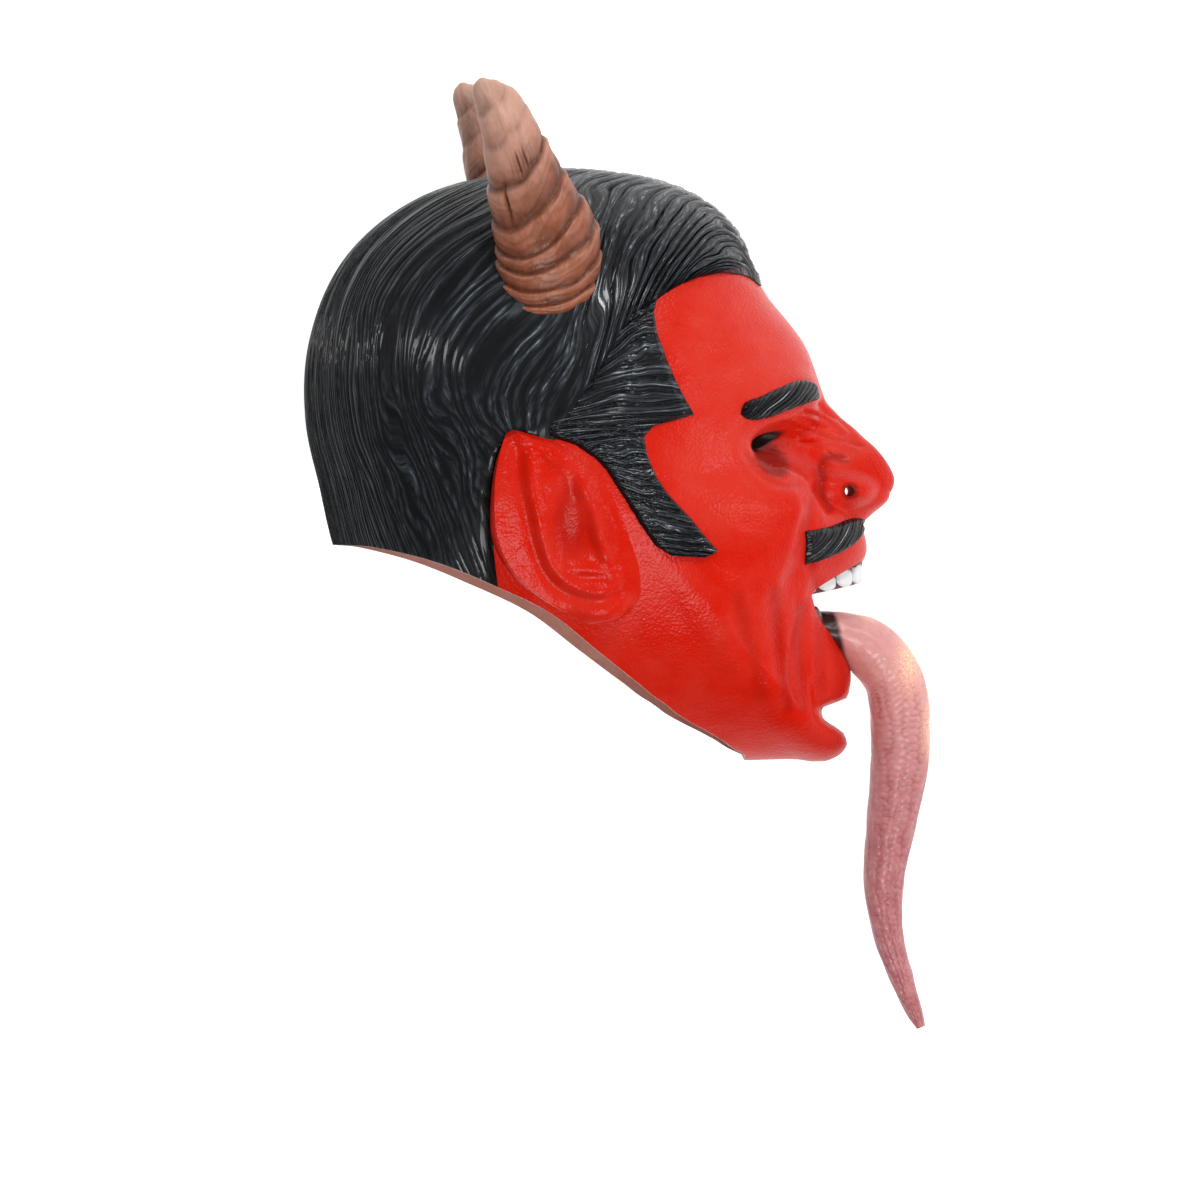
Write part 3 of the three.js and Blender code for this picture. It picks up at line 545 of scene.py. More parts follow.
GUM_DARK, GUM_RED = (0.05, 0.003, 0.004, 1), (0.2, 0.01, 0.01, 1)

# Plain colours that stand for a whole paint where its nodes aren't shown
PLAIN_HAIR, PLAIN_HORN, PLAIN_TONGUE = (0.008, 0.009, 0.012, 1), (0.3, 0.09, 0.05, 1), (0.55, 0.2, 0.2, 1)
PLAIN_TOOTH, PLAIN_GUM, PLAIN_FLOOR = (0.72, 0.74, 0.74, 1), (0.1, 0.006, 0.006, 1), (0.6, 0.6, 0.6, 1)


# Nodes of the paints
def node(tree, kind, inputs=None, **settings):
    made = tree.nodes.new("ShaderNode" + kind)
    for key, value in settings.items():
        setattr(made, key, value)
    for key, value in (inputs or {}).items():
        if isinstance(value, bpy.types.NodeSocket):
            tree.links.new(value, made.inputs[key])
        else:
            made.inputs[key].default_value = value
    return made


def mixed(tree, share, a, b):
    """Two colours mixed by a share from 0 to 1."""
    return node(tree, "Mix", {0: share, 6: a, 7: b}, data_type="RGBA").outputs[2]


def spread(tree, value, low, high, to_low=0.0, to_high=1.0):
    """A value taken from one range to another, and kept inside it."""
    return node(tree, "MapRange", {"Value": value, "From Min": low, "From Max": high,
                                   "To Min": to_low, "To Max": to_high}).outputs["Result"]


def product(tree, a, b):
    return node(tree, "Math", {0: a, 1: b}, operation="MULTIPLY").outputs[0]


def mask(tree, name, kind="Fac"):
    return node(tree, "Attribute", attribute_name=name).outputs[kind]


def noise(tree, vector, scale, detail=2.0, roughness=0.5):
    return node(tree, "TexNoise", {"Vector": vector, "Scale": scale, "Detail": detail,
                                   "Roughness": roughness}).outputs["Fac"]


def stretched_flow(tree, stretch):
    """The way the strands or flakes run, stretched along them."""
    flow = mask(tree, "flow", "Vector")
    return node(tree, "VectorMath", {0: flow, 1: (1.0, stretch, 1.0)}, operation="MULTIPLY").outputs[0]


def bumped(tree, height, depth):
    """A normal for a relief this deep."""
    return node(tree, "Bump", {"Height": height, "Distance": depth}).outputs["Normal"]


def group(name, inputs, outputs):
    """An empty shared group with its named inputs, outputs and their kinds."""
    tree = bpy.data.node_groups.new(name, "ShaderNodeTree")
    for key, kind, value in inputs:
        made = tree.interface.new_socket(key, in_out="INPUT", socket_type="NodeSocket" + kind)
        made.default_value = value
    for key, kind in outputs:
        tree.interface.new_socket(key, in_out="OUTPUT", socket_type="NodeSocket" + kind)
    given, put_out = tree.nodes.new("NodeGroupInput"), tree.nodes.new("NodeGroupOutput")
    return tree, given.outputs, put_out.inputs


def used(tree, shared, inputs):
    return node(tree, "Group", inputs, node_tree=shared).outputs


def socket(material, key):
    """An input of a paint's shader: base_color is its Base Color."""
    shader = material.node_tree.nodes["Principled BSDF"]
    return shader.inputs[key.replace("_", " ").title().replace("Ior", "IOR")]


def paint(name, colour, roughness, **constants):
    """A material with its constant values on the shader itself, and its nodes."""
    material = bpy.data.materials.new(name)
    material.use_nodes = True
    material.diffuse_color = colour
    for key, value in {"base_color": colour, "roughness": roughness, **constants}.items():
        socket(material, key).default_value = value
    return material, material.node_tree


def vary(material, **values):
    """Links what changes over the surface to a paint's shader."""
    for key, value in values.items():
        material.node_tree.links.new(value, socket(material, key))
    return material


def place_mm(tree):
    """Where a point lies, in millimetres."""
    place = node(tree, "TexCoord").outputs["Object"]
    return node(tree, "VectorMath", {0: place, 3: 1 / MM}, operation="SCALE").outputs[0]


# Latex skin: a fine pebbled grain over softer unevenness
def latex_grain():
    tree, given, out = group("latex_grain", [("Depth", "Float", 0.12), ("Grain", "Float", 1.1)],
                             [("Normal", "Vector"), ("Blotches", "Float")])
    place = place_mm(tree)
    grain = node(tree, "TexVoronoi", {"Vector": place, "Scale": given["Grain"]}, feature="SMOOTH_F1")
    pores = spread(tree, grain.outputs["Distance"], 0.1, 0.8)
    soft = noise(tree, place, 0.28, 3.0)
    height = node(tree, "Math", {0: pores, 1: soft}, operation="ADD").outputs[0]
    tree.links.new(bumped(tree, height, product(tree, given["Depth"], MM)), out["Normal"])
    tree.links.new(noise(tree, place, 0.03, 4.0, 0.6), out["Blotches"])
    return tree


LATEX_GRAIN = latex_grain()


def red_latex():
    material, tree = paint("red_latex", RED, 0.34, specular_ior_level=0.12)
    grain = used(tree, LATEX_GRAIN, {"Depth": 0.15, "Grain": 0.8})
    blotch = spread(tree, grain["Blotches"], 0.42, 0.66, 0, 0.25)
    # Pale red: pale blotches at random, and painted highlights where the pale mask lies
    blotch_and_highlight = node(tree, "Math", {0: blotch, 1: mask(tree, "pale")}, operation="ADD").outputs[0]
    skin = mixed(tree, blotch_and_highlight, RED, PALE_BLOTCH_AND_HIGHLIGHT_RED)
    # Deep red: painted shade in the creases, round the nostril and in the ears, and the dark red paint under
    # the eyes
    skin = mixed(tree, spread(tree, mask(tree, "crease"), 0.1, 1.0, 0, 0.95), skin, DEEP_RED)
    # Painted shade: near black round the eye openings
    skin = mixed(tree, mask(tree, "dark"), skin, EYE_OPENING_SHADE)
    dull = spread(tree, grain["Blotches"], 0.3, 0.7, 0.26, 0.36)
    return vary(material, base_color=skin, roughness=dull, normal=grain["Normal"])


def bare_latex():
    """The unpainted inside and the trimmed edges, with painted shade inside by the eye openings and in the
    mouth.
    """
    material, tree = paint("bare_latex", BARE, 0.6)
    grain = used(tree, LATEX_GRAIN, {"Depth": 0.1, "Grain": 0.6})
    skin = mixed(tree, spread(tree, grain["Blotches"], 0.35, 0.7), BARE, BARE_STAIN)
    # Painted shade on the inside by the eye openings and in the mouth
    skin = mixed(tree, mask(tree, "lining"), skin, INNER_SHADE_DARK)
    skin = mixed(tree, mask(tree, "lip"), skin, LIP_RED)
    return vary(material, base_color=skin, normal=grain["Normal"])


# Hair: glossy blue-black paint with painted shade in its grooves, grey brushed over its crests together with
# a painted sheen, and painted glints along their tops
def hair_brush_and_light():
    tree, given, out = group("hair_brush_and_light", [("Grey", "Float", 1.0), ("Painted_Glints", "Float", 0.5)],
                             [("Colour", "Color"), ("Roughness", "Float"), ("Normal", "Vector")])
    ridge = mask(tree, "ridge")
    streaks = noise(tree, stretched_flow(tree, 0.06), 1.6, 3.0, 0.6)
    patches = noise(tree, mask(tree, "flow", "Vector"), 0.045, 3.0)
    crests = spread(tree, ridge, 0.6, 1.0)
    # Grey paint brushed over the crests, with a painted sheen on them
    brush_and_sheen = product(tree, crests, spread(tree, streaks, 0.42, 0.62))
    brush_and_sheen = product(tree, brush_and_sheen, spread(tree, patches, 0.36, 0.6, 0.25, 1))
    brush_and_sheen = product(tree, brush_and_sheen, given["Grey"])
    # Painted shade: darker black in the grooves than on the crests
    brush_and_sheen = mixed(tree, brush_and_sheen, mixed(tree, ridge, GROOVE_SHADE_BLACK, HAIR_BLUE_BLACK), GREY_BRUSH_AND_SHEEN)
    # Painted glints: pale streaks along the tops of the crests
    painted_glints = product(tree, spread(tree, ridge, 0.75, 0.95), spread(tree, streaks, 0.6, 0.67))
    painted_glints = product(tree, painted_glints, given["Painted_Glints"])
    tree.links.new(mixed(tree, painted_glints, brush_and_sheen, GLINT_GREY), out["Colour"])
    tree.links.new(spread(tree, streaks, 0.3, 0.7, 0.34, 0.5), out["Roughness"])
    tree.links.new(bumped(tree, streaks, 0.45 * MM), out["Normal"])
    return tree


def hair_paint(name, grey, painted_glints, gloss):
    """Clear gloss over the painted hair, on its crests alone."""
    material, tree = paint(name, PLAIN_HAIR, 0.4, specular_ior_level=0.15, coat_roughness=0.1)
    hair = used(tree, HAIR_BRUSH_AND_LIGHT, {"Grey": grey, "Painted_Glints": painted_glints})
    return vary(material, base_color=hair["Colour"], roughness=hair["Roughness"], normal=hair["Normal"],
                coat_weight=product(tree, mask(tree, "ridge"), gloss))


HAIR_BRUSH_AND_LIGHT = hair_brush_and_light()


def horn_paint():
    """Terracotta with painted shade in the grooves and a painted tan highlight over the crests."""
    material, tree = paint("horn_paint", PLAIN_HORN, 0.4, specular_ior_level=0.3)
    grain = noise(tree, stretched_flow(tree, 0.25), 0.8, 4.0, 0.6)
    patches = noise(tree, place_mm(tree), 0.1, 3.0)
    base = mixed(tree, spread(tree, patches, 0.35, 0.65), TERRACOTTA, LIGHT_TERRACOTTA)
    ridge = mask(tree, "ridge")
    # Painted highlight: tan over the crests
    crest_highlight = product(tree, spread(tree, ridge, 0.55, 0.95), spread(tree, grain, 0.35, 0.65, 0.3, 1))
    base = mixed(tree, product(tree, crest_highlight, 0.7), base, HORN_HIGHLIGHT_TAN)
    # Painted shade: dark brown in the grooves and cuts
    groove_shade = product(tree, spread(tree, ridge, 0.62, 0.05), spread(tree, grain, 0.25, 0.6, 1, 0.75))
    raised = node(tree, "SeparateXYZ", {0: mask(tree, "flow", "Vector")}).outputs["Y"]
    base = mixed(tree, spread(tree, raised, 45, 125, 0, 0.85), base, HORN_TIP)
    base = mixed(tree, groove_shade, base, HORN_GROOVE_SHADE)
    return vary(material, base_color=base, roughness=spread(tree, patches, 0.3, 0.7, 0.32, 0.5),
                normal=bumped(tree, grain, 0.45 * MM))


def tongue_latex():
    """Translucent pink, lit from inside in a few warm patches near its root."""
    material, tree = paint(
        "tongue_latex", PLAIN_TONGUE, 0.36, specular_ior_level=0.45, subsurface_weight=0.3,
        subsurface_radius=(1.0, 0.35, 0.3), subsurface_scale=5 * MM, emission_strength=1.0)
    place = place_mm(tree)
    grain, mottle = noise(tree, place, 0.5, 3.0), noise(tree, place, 0.16, 3.0, 0.6)
    skin = mixed(tree, mask(tree, "pale"), PINK, ROOT_PINK)
    # Painted shade: darker pink in the grooves between the scallops
    skin = mixed(tree, spread(tree, mask(tree, "ridge"), 0.7, 0.0, 0, 0.55), skin, SCALLOP_SHADE_PINK)
    skin = mixed(tree, spread(tree, mottle, 0.4, 0.62, 0, 0.45), skin, PALE_PINK)
    # Painted shade on the root inside the mouth
    skin = mixed(tree, mask(tree, "dark"), skin, TONGUE_ROOT_SHADE)
    sparkle = spread(tree, noise(tree, place, 1.2, 2.0, 0.7), 0.4, 0.62, 0.2, 1.5)
    lit = mixed(tree, product(tree, mask(tree, "glow"), sparkle), (0, 0, 0, 1), LAMP_GLOW)
    return vary(material, base_color=skin, emission_color=lit, normal=bumped(tree, grain, 0.3 * MM))


def tooth_enamel():
    material, tree = paint("tooth_enamel", PLAIN_TOOTH, 0.25, specular_ior_level=0.4)
    # Older enamel stained in at random
    stain_and_shade = noise(tree, place_mm(tree), 0.35, 3.0)
    white = mixed(tree, spread(tree, stain_and_shade, 0.4, 0.75, 0, 0.35), ENAMEL, OLD_ENAMEL)
    return vary(material, base_color=mixed(tree, mask(tree, "root"), white, TOOTH_ROOT))


def gum_latex():
    material, tree = paint("gum_latex", PLAIN_GUM, 0.35)
    grain = used(tree, LATEX_GRAIN, {"Depth": 0.2, "Grain": 0.7})
    gum = mixed(tree, spread(tree, grain["Blotches"], 0.4, 0.7), GUM_DARK, GUM_RED)
    return vary(material, base_color=gum, normal=grain["Normal"])


RED_LATEX, BARE_LATEX = red_latex(), bare_latex()
HAIR, BROW_HAIR = hair_paint("hair_paint", 1.15, 0.8, 0.45), hair_paint("brow_paint", 0.1, 2.4, 0.5)

# Creases of the face seen from the side: path, depth, half width and how dark the painted shade in them is
CREASES = [
    ([(103, -14), (98.8, -34), (101.8, -53), (104.6, -67), (106, -91), (106.6, -114)], 0.6, 3.0, 0.25),
    ([(117, 0.6), (110.4, 2), (106.8, -1.5), (106.2, -9), (106.8, -16.4), (110.4, -23)], 1.7, 2.4, 0.6),
    ([(66, -66), (69.6, -83), (74.4, -96), (77, -112.8)], 0.9, 5.0, 0.3),
    ([(84, -64), (85.2, -83), (87.6, -101), (90, -118.8)], 1.1, 4.2, 0.36),
    ([(96, -70), (94.6, -86.4), (96, -101), (97.2, -118.8)], 0.9, 3.4, 0.34),
    ([(70, 2), (77, -7), (86, -12), (95, -12)], 0.8, 2.2, 0.25),
    ([(68, -4), (77, -16), (88, -21)], 0.4, 3.0, 0.05),
    ([(106.1, 27.3), (108.4, 23.3), (116.5, 18.1), (121, 12.5)], 1.1, 1.4, 0.15),
    ([(99, 22.5), (108.4, 19.3), (116.5, 13.5)], 1.1, 1.4, 0.2),
    ([(95.8, 11.4), (102, 13.4), (111.9, 10.6), (125.5, 7.4)], 1.3, 1.5, 0.25),
    ([(97, 7.8), (108.4, 8), (121, 4)], 1.0, 1.4, 0.15),
    ([(103, 16), (112, 14.4), (122, 9.8)], 0.9, 1.1, 0.12),
    ([(43, 63), (68, 61), (91, 55)], 0.4, 5.0, 0.0), ([(45, 51), (72, 49), (98, 44)], 0.4, 4.5, 0.0),
]


def relief(points):
    """How far the face's folds sink or swell, and how dark the painted shade in them is."""
    x, z = seen_from_side(points)
    face = smooth(15, 35, points[..., 0])
    sunk, stain_and_shade = np.zeros(x.shape), np.zeros(x.shape)
    for path, depth, half, dark in CREASES:
        near = np.exp(-(distance_to_path(path, x, z) / half) ** 2)
        sunk += depth * near
        stain_and_shade = np.maximum(stain_and_shade, dark * near)
    nostril = np.hypot(x - NOSTRIL[0] - 1, z - NOSTRIL[1]) / 5
    sunk += 0.9 * np.exp(-nostril**2) * (np.abs(points[..., 1]) < 40)
    puckered = bump((x - 108) / 24, (z - 16) / 17) + 1.1 * bump((x - 82) / 15, (z + 1) / 14)
    sunk += 1.1 * puckered * (wander(5, x / 8 + z / 12, z / 2.2 + x / 8) - 0.2)
    soft = 0.3 * wander(3, x / 12, z / 12) + 0.12 * wander(4, x / 4.5, z / 4.5)
    return face * (soft - sunk), face * stain_and_shade


def head_rings(angles, half_turns, place):
    turns = np.concatenate([-half_turns[::-1], [0], half_turns])
    rings = place(angles[None, :], turns[:, None])
    points, around, faces = closed_tube(
        rings, place(np.array(0.0), np.array(-90.0)), place(np.array(0.0), np.array(90.0)))
    return points, around, turned_out(points, faces)


def skin_form():
    angles = np.concatenate([
        np.arange(-49, -14, 0.5), np.arange(-14, 10, 0.3), np.arange(10, 52, 0.5),
        np.arange(52, 206, 7), np.arange(206, 311, 1.5)])
    half_turns = np.concatenate([np.arange(0.5, 30, 0.5), np.arange(30, 60, 0.8), np.arange(60.5, 84, 1.5)])
    points, around, faces = head_rings(angles, half_turns, on_head)
    height = relief(points)[0]
    height[-2:] = 0
    return points + outward(points, around) * height[:, None], faces


def inside_head(angle, turn, spare=0.0):
    """The inner face of the wall, or a place that much nearer its middle."""
    x, y, z = np.moveaxis(on_head(angle, turn), -1, 0)
    filled = np.maximum(0, lower_lip(np.abs(y), z)) * smooth(-94, -106, z)
    x = x - filled * (x >= 20)
    wall = WALL - under_hair(angle) - spare
    dx, dz = x - EAR_X, z - EAR_Z
    notch = 5 * bump(y / 45, (z + 118) / 22) + 5.5 * bump((np.abs(y) - 25) / 16, (z + 8) / 25)
    socket = 9 * bump((np.abs(y) - 27) / 25, (z - 4) / 21)
    along = np.abs(np.cos(np.radians(turn)))
    deeper = wall * (0.5 + 0.5 * along) + 1.2 * smooth(110, 135, x) + notch + socket
    inward = 1 - deeper / np.maximum(np.hypot(dx, dz), 30)
    return np.stack([EAR_X + dx * inward, y * (1 - wall / HALF_WIDTH), EAR_Z + dz * inward], -1)


def hollow_form(spare=0.0):
    angles = np.concatenate([np.arange(-47, 53, 2.5), np.arange(53, 313, 5)])
    points, _, faces = head_rings(angles, np.arange(4.0, 80, 4), lambda *at: inside_head(*at, spare))
    return points, faces


def mouth_form():
    share = np.linspace(-1, 1, 41)
    low = LIP_BOTTOM + (LIP_CORNER - LIP_BOTTOM) * np.abs(share) ** 1.8
    high = LIP_TOP + (LIP_CORNER - LIP_TOP) * np.abs(share) ** 2.2
    y = MOUTH_HALF_WIDTH * share
    return prism([*zip(y, low), *zip(y[1:-1][::-1], high[1:-1][::-1])], "front", 60, 170)


def eye_form():
    turn = np.linspace(0, 2 * math.pi, 28, endpoint=False)
    u = EYE_HALF_WIDTH * np.cos(turn)
    v = EYE_HALF_HEIGHT * np.sin(turn) * (1 - 0.25 * np.cos(turn))
    return prism(np.stack([EYE_Y + u, EYE_Z + v - EYE_SLANT * u], -1), "front", 40, 120)


def nostril_form():
    turn = np.linspace(0, 2 * math.pi, 24, endpoint=False)
    x, z, radius = NOSTRIL
    return prism(np.stack([x + radius * np.cos(turn), z + radius * np.sin(turn)], -1), "side", -40, 40)


def under_bottom_edge():
    line = smooth_at(BOTTOM_EDGE, np.linspace(0, 1, 121))
    line[:, 1] += 0.7 * smooth(0, 50, line[:, 0]) * wander(71, line[:, 0] / 7, 0)
    return prism([*map(tuple, line), (77, -175), (-190, -175), (-190, -40.5)], "side", -160, 160)


HOLLOW, INSIDE_WALL, UNDER = hollow_form(), hollow_form(0.7), under_bottom_edge()


def eye_distance(points):
    """1 on the edge of the eye opening seen from the front, and more outside it."""
    u, v = np.abs(points[..., 1]) - EYE_Y, points[..., 2] - EYE_Z
    return np.hypot(u / EYE_HALF_WIDTH, (v + EYE_SLANT * u) / EYE_HALF_HEIGHT)


def make_skin():
    eye_cut = eye_form()
    points, faces, paint_of = cut(*skin_form(), [
        HOLLOW, mouth_form(), eye_cut, mirrored(*eye_cut), nostril_form(), UNDER])
    x, y, z = points.T
    seen = seen_from_side(points)[0]
    from_eye = eye_distance(points)
    from_nostril = np.hypot(x - NOSTRIL[0], z - NOSTRIL[1])
    bag = bump((seen - 82.5) / 13, (z + 0.5 + 0.35 * (seen - 82.5)) / 11.5) * (x > 55)
    # Painted shade in the creases and round the nostril, and the dark red paint under the eye
    crease = np.maximum.reduce([
        relief(points)[1],
        0.78 * smooth(0, 0.6, bag),
        0.8 * smooth(5.5, 3, from_nostril) * (np.abs(y) < 30),
    ])
    # Painted highlights: paler red on the forehead, temple and cheekbone, the bridge of the nose and the chin
    pale = (0.45 * bump((seen - 80) / 60, (z - 58) / 50)          # forehead
            + 0.45 * bump((seen - 62) / 44, (z + 6) / 42)         # temple and cheekbone
            + 0.7 * bump((seen - 118) / 18, (z - 10) / 18)        # bridge of the nose
            + 0.2 * bump((z + 145) / 16))                         # chin
    in_mouth = bump((x - 112) / 34, y / 48, (z + 78) / 34)
    inner = np.ones(len(points))
    inner[[k for face, paint_made in zip(faces, paint_of) if paint_made == 0 for k in face]] = 0
    piece("skin", points, faces, [RED_LATEX, BARE_LATEX], paint_of=paint_of,
          crease=np.minimum(crease, 1), pale=np.minimum(pale, 0.4),
          # Painted shade round the eye openings
          dark=0.95 * smooth(1.5, 1.0, from_eye) * (x > 50),
          # Painted shade on the inside by the eye openings and in the mouth
          lining=np.maximum(smooth(3.5, 2, from_eye) * (x > 40), inner * smooth(0.02, 0.3, in_mouth)),
          lip=smooth(-66, -60, z) * bump((x - 115) / 40, y / 50))


# Hair
def crown_place(along, share):
    front = np.stack(from_side(*np.moveaxis(smooth_at(FOREHEAD, share), -1, 0)))
    front[1] *= smooth(0, 0.048, share)
    first, last = from_side(*FOREHEAD[0])[0], np.stack(from_side(*FOREHEAD[-1]))
    edge = np.stack(from_side(*np.moveaxis(smooth_at(CROWN_EDGE, along), -1, 0)))
    place = []
    for k in range(2):
        middle = (first + (NAPE_ANGLE - first) * along) * (1 - k)
        corner = (1 - share) * first * (1 - k) + share * last[k]
        place.append((1 - share) * middle + share * edge[k] + (1 - along) * (front[k] - corner))
    return place[0], np.maximum(place[1], 0)


def combed(begins, t):
    """Places on the strands that begin along the middle line, or before 0 at the forehead's edge."""
    reach, bend = 1.39 * (1.15 - begins), 0.14 + 1.3 * smooth(0.08, 0.6, begins)
    first = np.maximum(begins, 0)
    last = np.where(reach > 1, begins - bend * np.log(1 - 1 / np.maximum(reach, 1.0001)), 1)
    along = first + (np.clip(last, first, 1) - first) * t
    return along, np.clip(reach * (1 - np.exp((begins - along) / bend)), 0, 1)


def make_crown():
    begins, t = np.meshgrid(np.linspace(-0.116, 0.996, 1101), np.linspace(0, 1, 81), indexing="ij")
    along, share = combed(begins, t)
    places = on_head(*crown_place(along, share))
    phase = LOCKS * begins
    phase = phase + 0.5 * wander(11, phase / 2, share * 7) + 0.35 * wander(12, phase / 1.3, 0 * share)
    tucked = wander(13, np.floor(phase) * 3.7, share * 4 + along * 3)
    deep = (0.55 + 1.5 * smooth(0.62, 0.2, along)) * (0.75 + 0.4 * tucked)
    deep *= 0.4 + 0.6 * smooth(0, 0.1, share)
    lock = crest(phase, 0.55)
    strand = crest(3 * phase + 0.8 * wander(14, phase * 1.5, share * 6 + along * 12), 0.75)
    ragged = 0.035 * wander(15, 2.5 * phase, 0 * share) * smooth(0.5, 0.4, along)
    taper = smooth(1.012, 0.955, share + np.minimum(0, ragged)) * (0.35 + 0.65 * smooth(0, 0.014, along))
    grooves = deep * (1 - lock) + 0.5 * (1 - strand)
    height = (HAIR_RISE + 0.3) * taper - grooves * (0.25 + 0.75 * taper) + 0.1
    ridge = np.clip(1 - 0.42 * deep * (1 - lock) - 0.45 * (1 - strand), 0, 1) * smooth(1, 0.94, share)
    ridge *= 1 - 0.2 * smooth(0.35, 0.6, along)
    points, faces = closed_sheet(places, height)
    flow = np.stack([7 * phase, 130 * share + 300 * along, 0 * along], -1)
    both_sides("hair_crown_{}", points, faces, HAIR, cutters=[UNDER, INSIDE_WALL],
               **with_under(points, ridge=ridge, flow=flow))


def make_temples():
    rows, columns = 421, 61
    r, q = np.meshgrid(np.linspace(0, len(TEMPLE) - 1, rows), np.linspace(0, 1, columns), indexing="ij")
    ends = straight_at(TEMPLE, r / (len(TEMPLE) - 1))
    reach = q * (1 + 0.45 * smooth(7, 4, r))
    sag = 7 * reach**2 * smooth(6, 4.5, r) * smooth(0.5, 2.5, r)
    x = ends[..., 0] + (ends[..., 2] - ends[..., 0]) * reach
    z = ends[..., 1] + (ends[..., 3] - ends[..., 1]) * reach
    places = on_head(*from_side(x, z - sag))
    bent = r + 0.2 * wander(21, r * 1.3, q * 4) + 0.06 * wander(22, r * 4, q * 9)
    lock, strand = crest(1.7 * bent + 0.5, 0.6), crest(5.1 * bent + 0.3 * wander(23, r * 4, q * 5), 0.7)
    deep = 1.25 + 0.5 * wander(24, np.floor(1.7 * bent + 0.5) * 3.7, q * 3)
    height = 2.6 - deep * (1 - lock) - 0.75 * (1 - strand)
    height *= 0.45 + 0.55 * smooth(0, 0.06, q)
    height = height * smooth(1.0, 0.86, q) - 0.7 * smooth(0.9, 1, q)
    ridge = np.clip(1 - 0.55 * (1 - lock) - 0.5 * (1 - strand), 0, 1) * smooth(1, 0.8, q)
    points, faces = closed_sheet(places, height)
    flow = np.stack([10 * bent, 28 * q, 0 * q], -1)
    both_sides("hair_temple_{}", points, faces, HAIR, **with_under(points, ridge=ridge, flow=flow))


def make_bands(name, rows, rise, strands, slant, pulled):
    """An eyebrow or half of the moustache on each side, combed in strands."""
    steps, columns = 121, 41
    along, up = np.meshgrid(np.linspace(0, 1, steps), np.linspace(0, 1, columns), indexing="ij")
    y, low, high = np.moveaxis(smooth_at(rows, along), -1, 0)
    y = y - pulled * (1 - up) * along**3
    places = on_head(*from_front(y, low + (high - low) * up))
    bent = along * strands + slant * up * (0.5 + along) + 0.5 * wander(31, along * 7, up * 3)
    strand, lock = crest(bent, 0.7), crest(0.31 * bent + 0.2, 0.6)
    rim = np.minimum(smooth(0, 0.2, up) * smooth(1, 0.8, up), smooth(0, 0.06, along) * smooth(1, 0.94, along))
    height = rise * (0.3 + 0.7 * rim**0.6) - 0.75 * (1 - strand) - 0.8 * (1 - lock)
    height *= 0.4 + 0.6 * smooth(0, 0.22, along)
    points, faces = closed_sheet(places, height, sunk=1.5)
    ridge = 0.95 * strand * (0.6 + 0.4 * lock)
    flow = np.stack([1.6 * bent, 12 * up, 0 * up], -1)
    both_sides(name + "_{}", points, faces, BROW_HAIR, **with_under(points, ridge=ridge, flow=flow))


# Ears
def make_ears():
    rows, columns = 151, 101
    share, q = np.meshgrid(np.linspace(0, 1, rows), np.linspace(0, 1, columns), indexing="ij")
    ax, az, bx, bz = np.moveaxis(smooth_at(EAR, share), -1, 0)
    places = on_head(*from_side(ax + (bx - ax) * q, az + (bz - az) * q))
    x, z = seen_from_side(places)
    folds = sum(high * np.exp(-(distance_to_path(path, x, z) / half) ** 2)
                for path, high, half in EAR_FOLDS)
    lobe, tragus = 4.5 * bump((x - 1) / 19, (z + 68) / 15), 3 * bump((x - 1) / 8, (z + 33) / 12)
    bowl = 5.2 * bump((x + 14.5) / 13, (z + 30) / 26)
    full = 3.4 + 2.8 * smooth(14, -46, x) + folds + lobe + tragus - bowl + 0.25 * wander(41, x / 6, z / 6)
    height = 0.5 * (full + 0.3 + np.hypot(full - 0.3, 1.0))
    front, back = smooth(0, 0.34, q), np.sqrt(np.clip((1 - q) / 0.06, 0, 1))
    ends = np.minimum(smooth(0, 0.05, share), smooth(1, 0.9, share))
    height = height * front * back * (0.15 + 0.85 * ends) - 0.6 * (1 - front)
    # Painted shade: darker red in the bowl of the ear and along its grooves
    stain_and_shade = 0.4 * bump((x + 15) / 12, (z + 32) / 26) + 0.25 * smooth(0.5, -1.5, folds)
    stain_and_shade = stain_and_shade * smooth(0.1, 0.4, q) * smooth(0.97, 0.85, q)
    points, faces = closed_sheet(places, height)
    both_sides("ear_{}", points, faces, RED_LATEX, **with_under(points, crease=stain_and_shade))


# Teeth and gums
def arch_at(y):
    return TOOTH_FRONT - 18.7 * (np.abs(y) / 23) ** 1.4


def rounded_section(turn, power):
    """A ring between an oval, at 1, and a box, at 0."""
    return (np.sign(np.cos(turn)) * np.abs(np.cos(turn)) ** power,
            np.sign(np.sin(turn)) * np.abs(np.sin(turn)) ** power)


def make_teeth():
    enamel = tooth_enamel()
    turn = np.linspace(0, 2 * math.pi, 28, endpoint=False)
    across, deep = rounded_section(turn, 0.42)
    for number in range(TEETH_PER_SIDE):
        y = (number + 0.5) * TOOTH_SPACING + 0.3
        tip = gum_edge(y) + 0.5
        t = np.linspace(0, 1, 22)[:, None]
        closing = np.sqrt(np.clip((1 - t) / 0.16, 0, 1)) * (1 - 0.25) + 0.25 * smooth(1.02, 0.9, t)
        half = TOOTH_WIDTH / 2 * (0.86 + 0.14 * smooth(0, 0.7, t)) * closing
        u, d = half * across, 2 + 1.2 * closing * deep
        z = TOOTH_TOP + (tip - TOOTH_TOP) * t + 0 * u
        ring = np.stack([arch_at(y + u) - 3.2 + d, y + u, z], -1)
        points, _, faces = closed_tube(ring, ring[0].mean(0), ring[-1].mean(0))
        faces = turned_out(points, faces)
        gum_line = tip + 9.6 - 1.1 * number - 1.3 * ((points[:, 1] - y) / 3) ** 2
        root = smooth(gum_line - 0.4, gum_line + 0.4, points[:, 2])
        both_sides("tooth_{}_" + str(number + 1), points, faces, enamel, root=root)


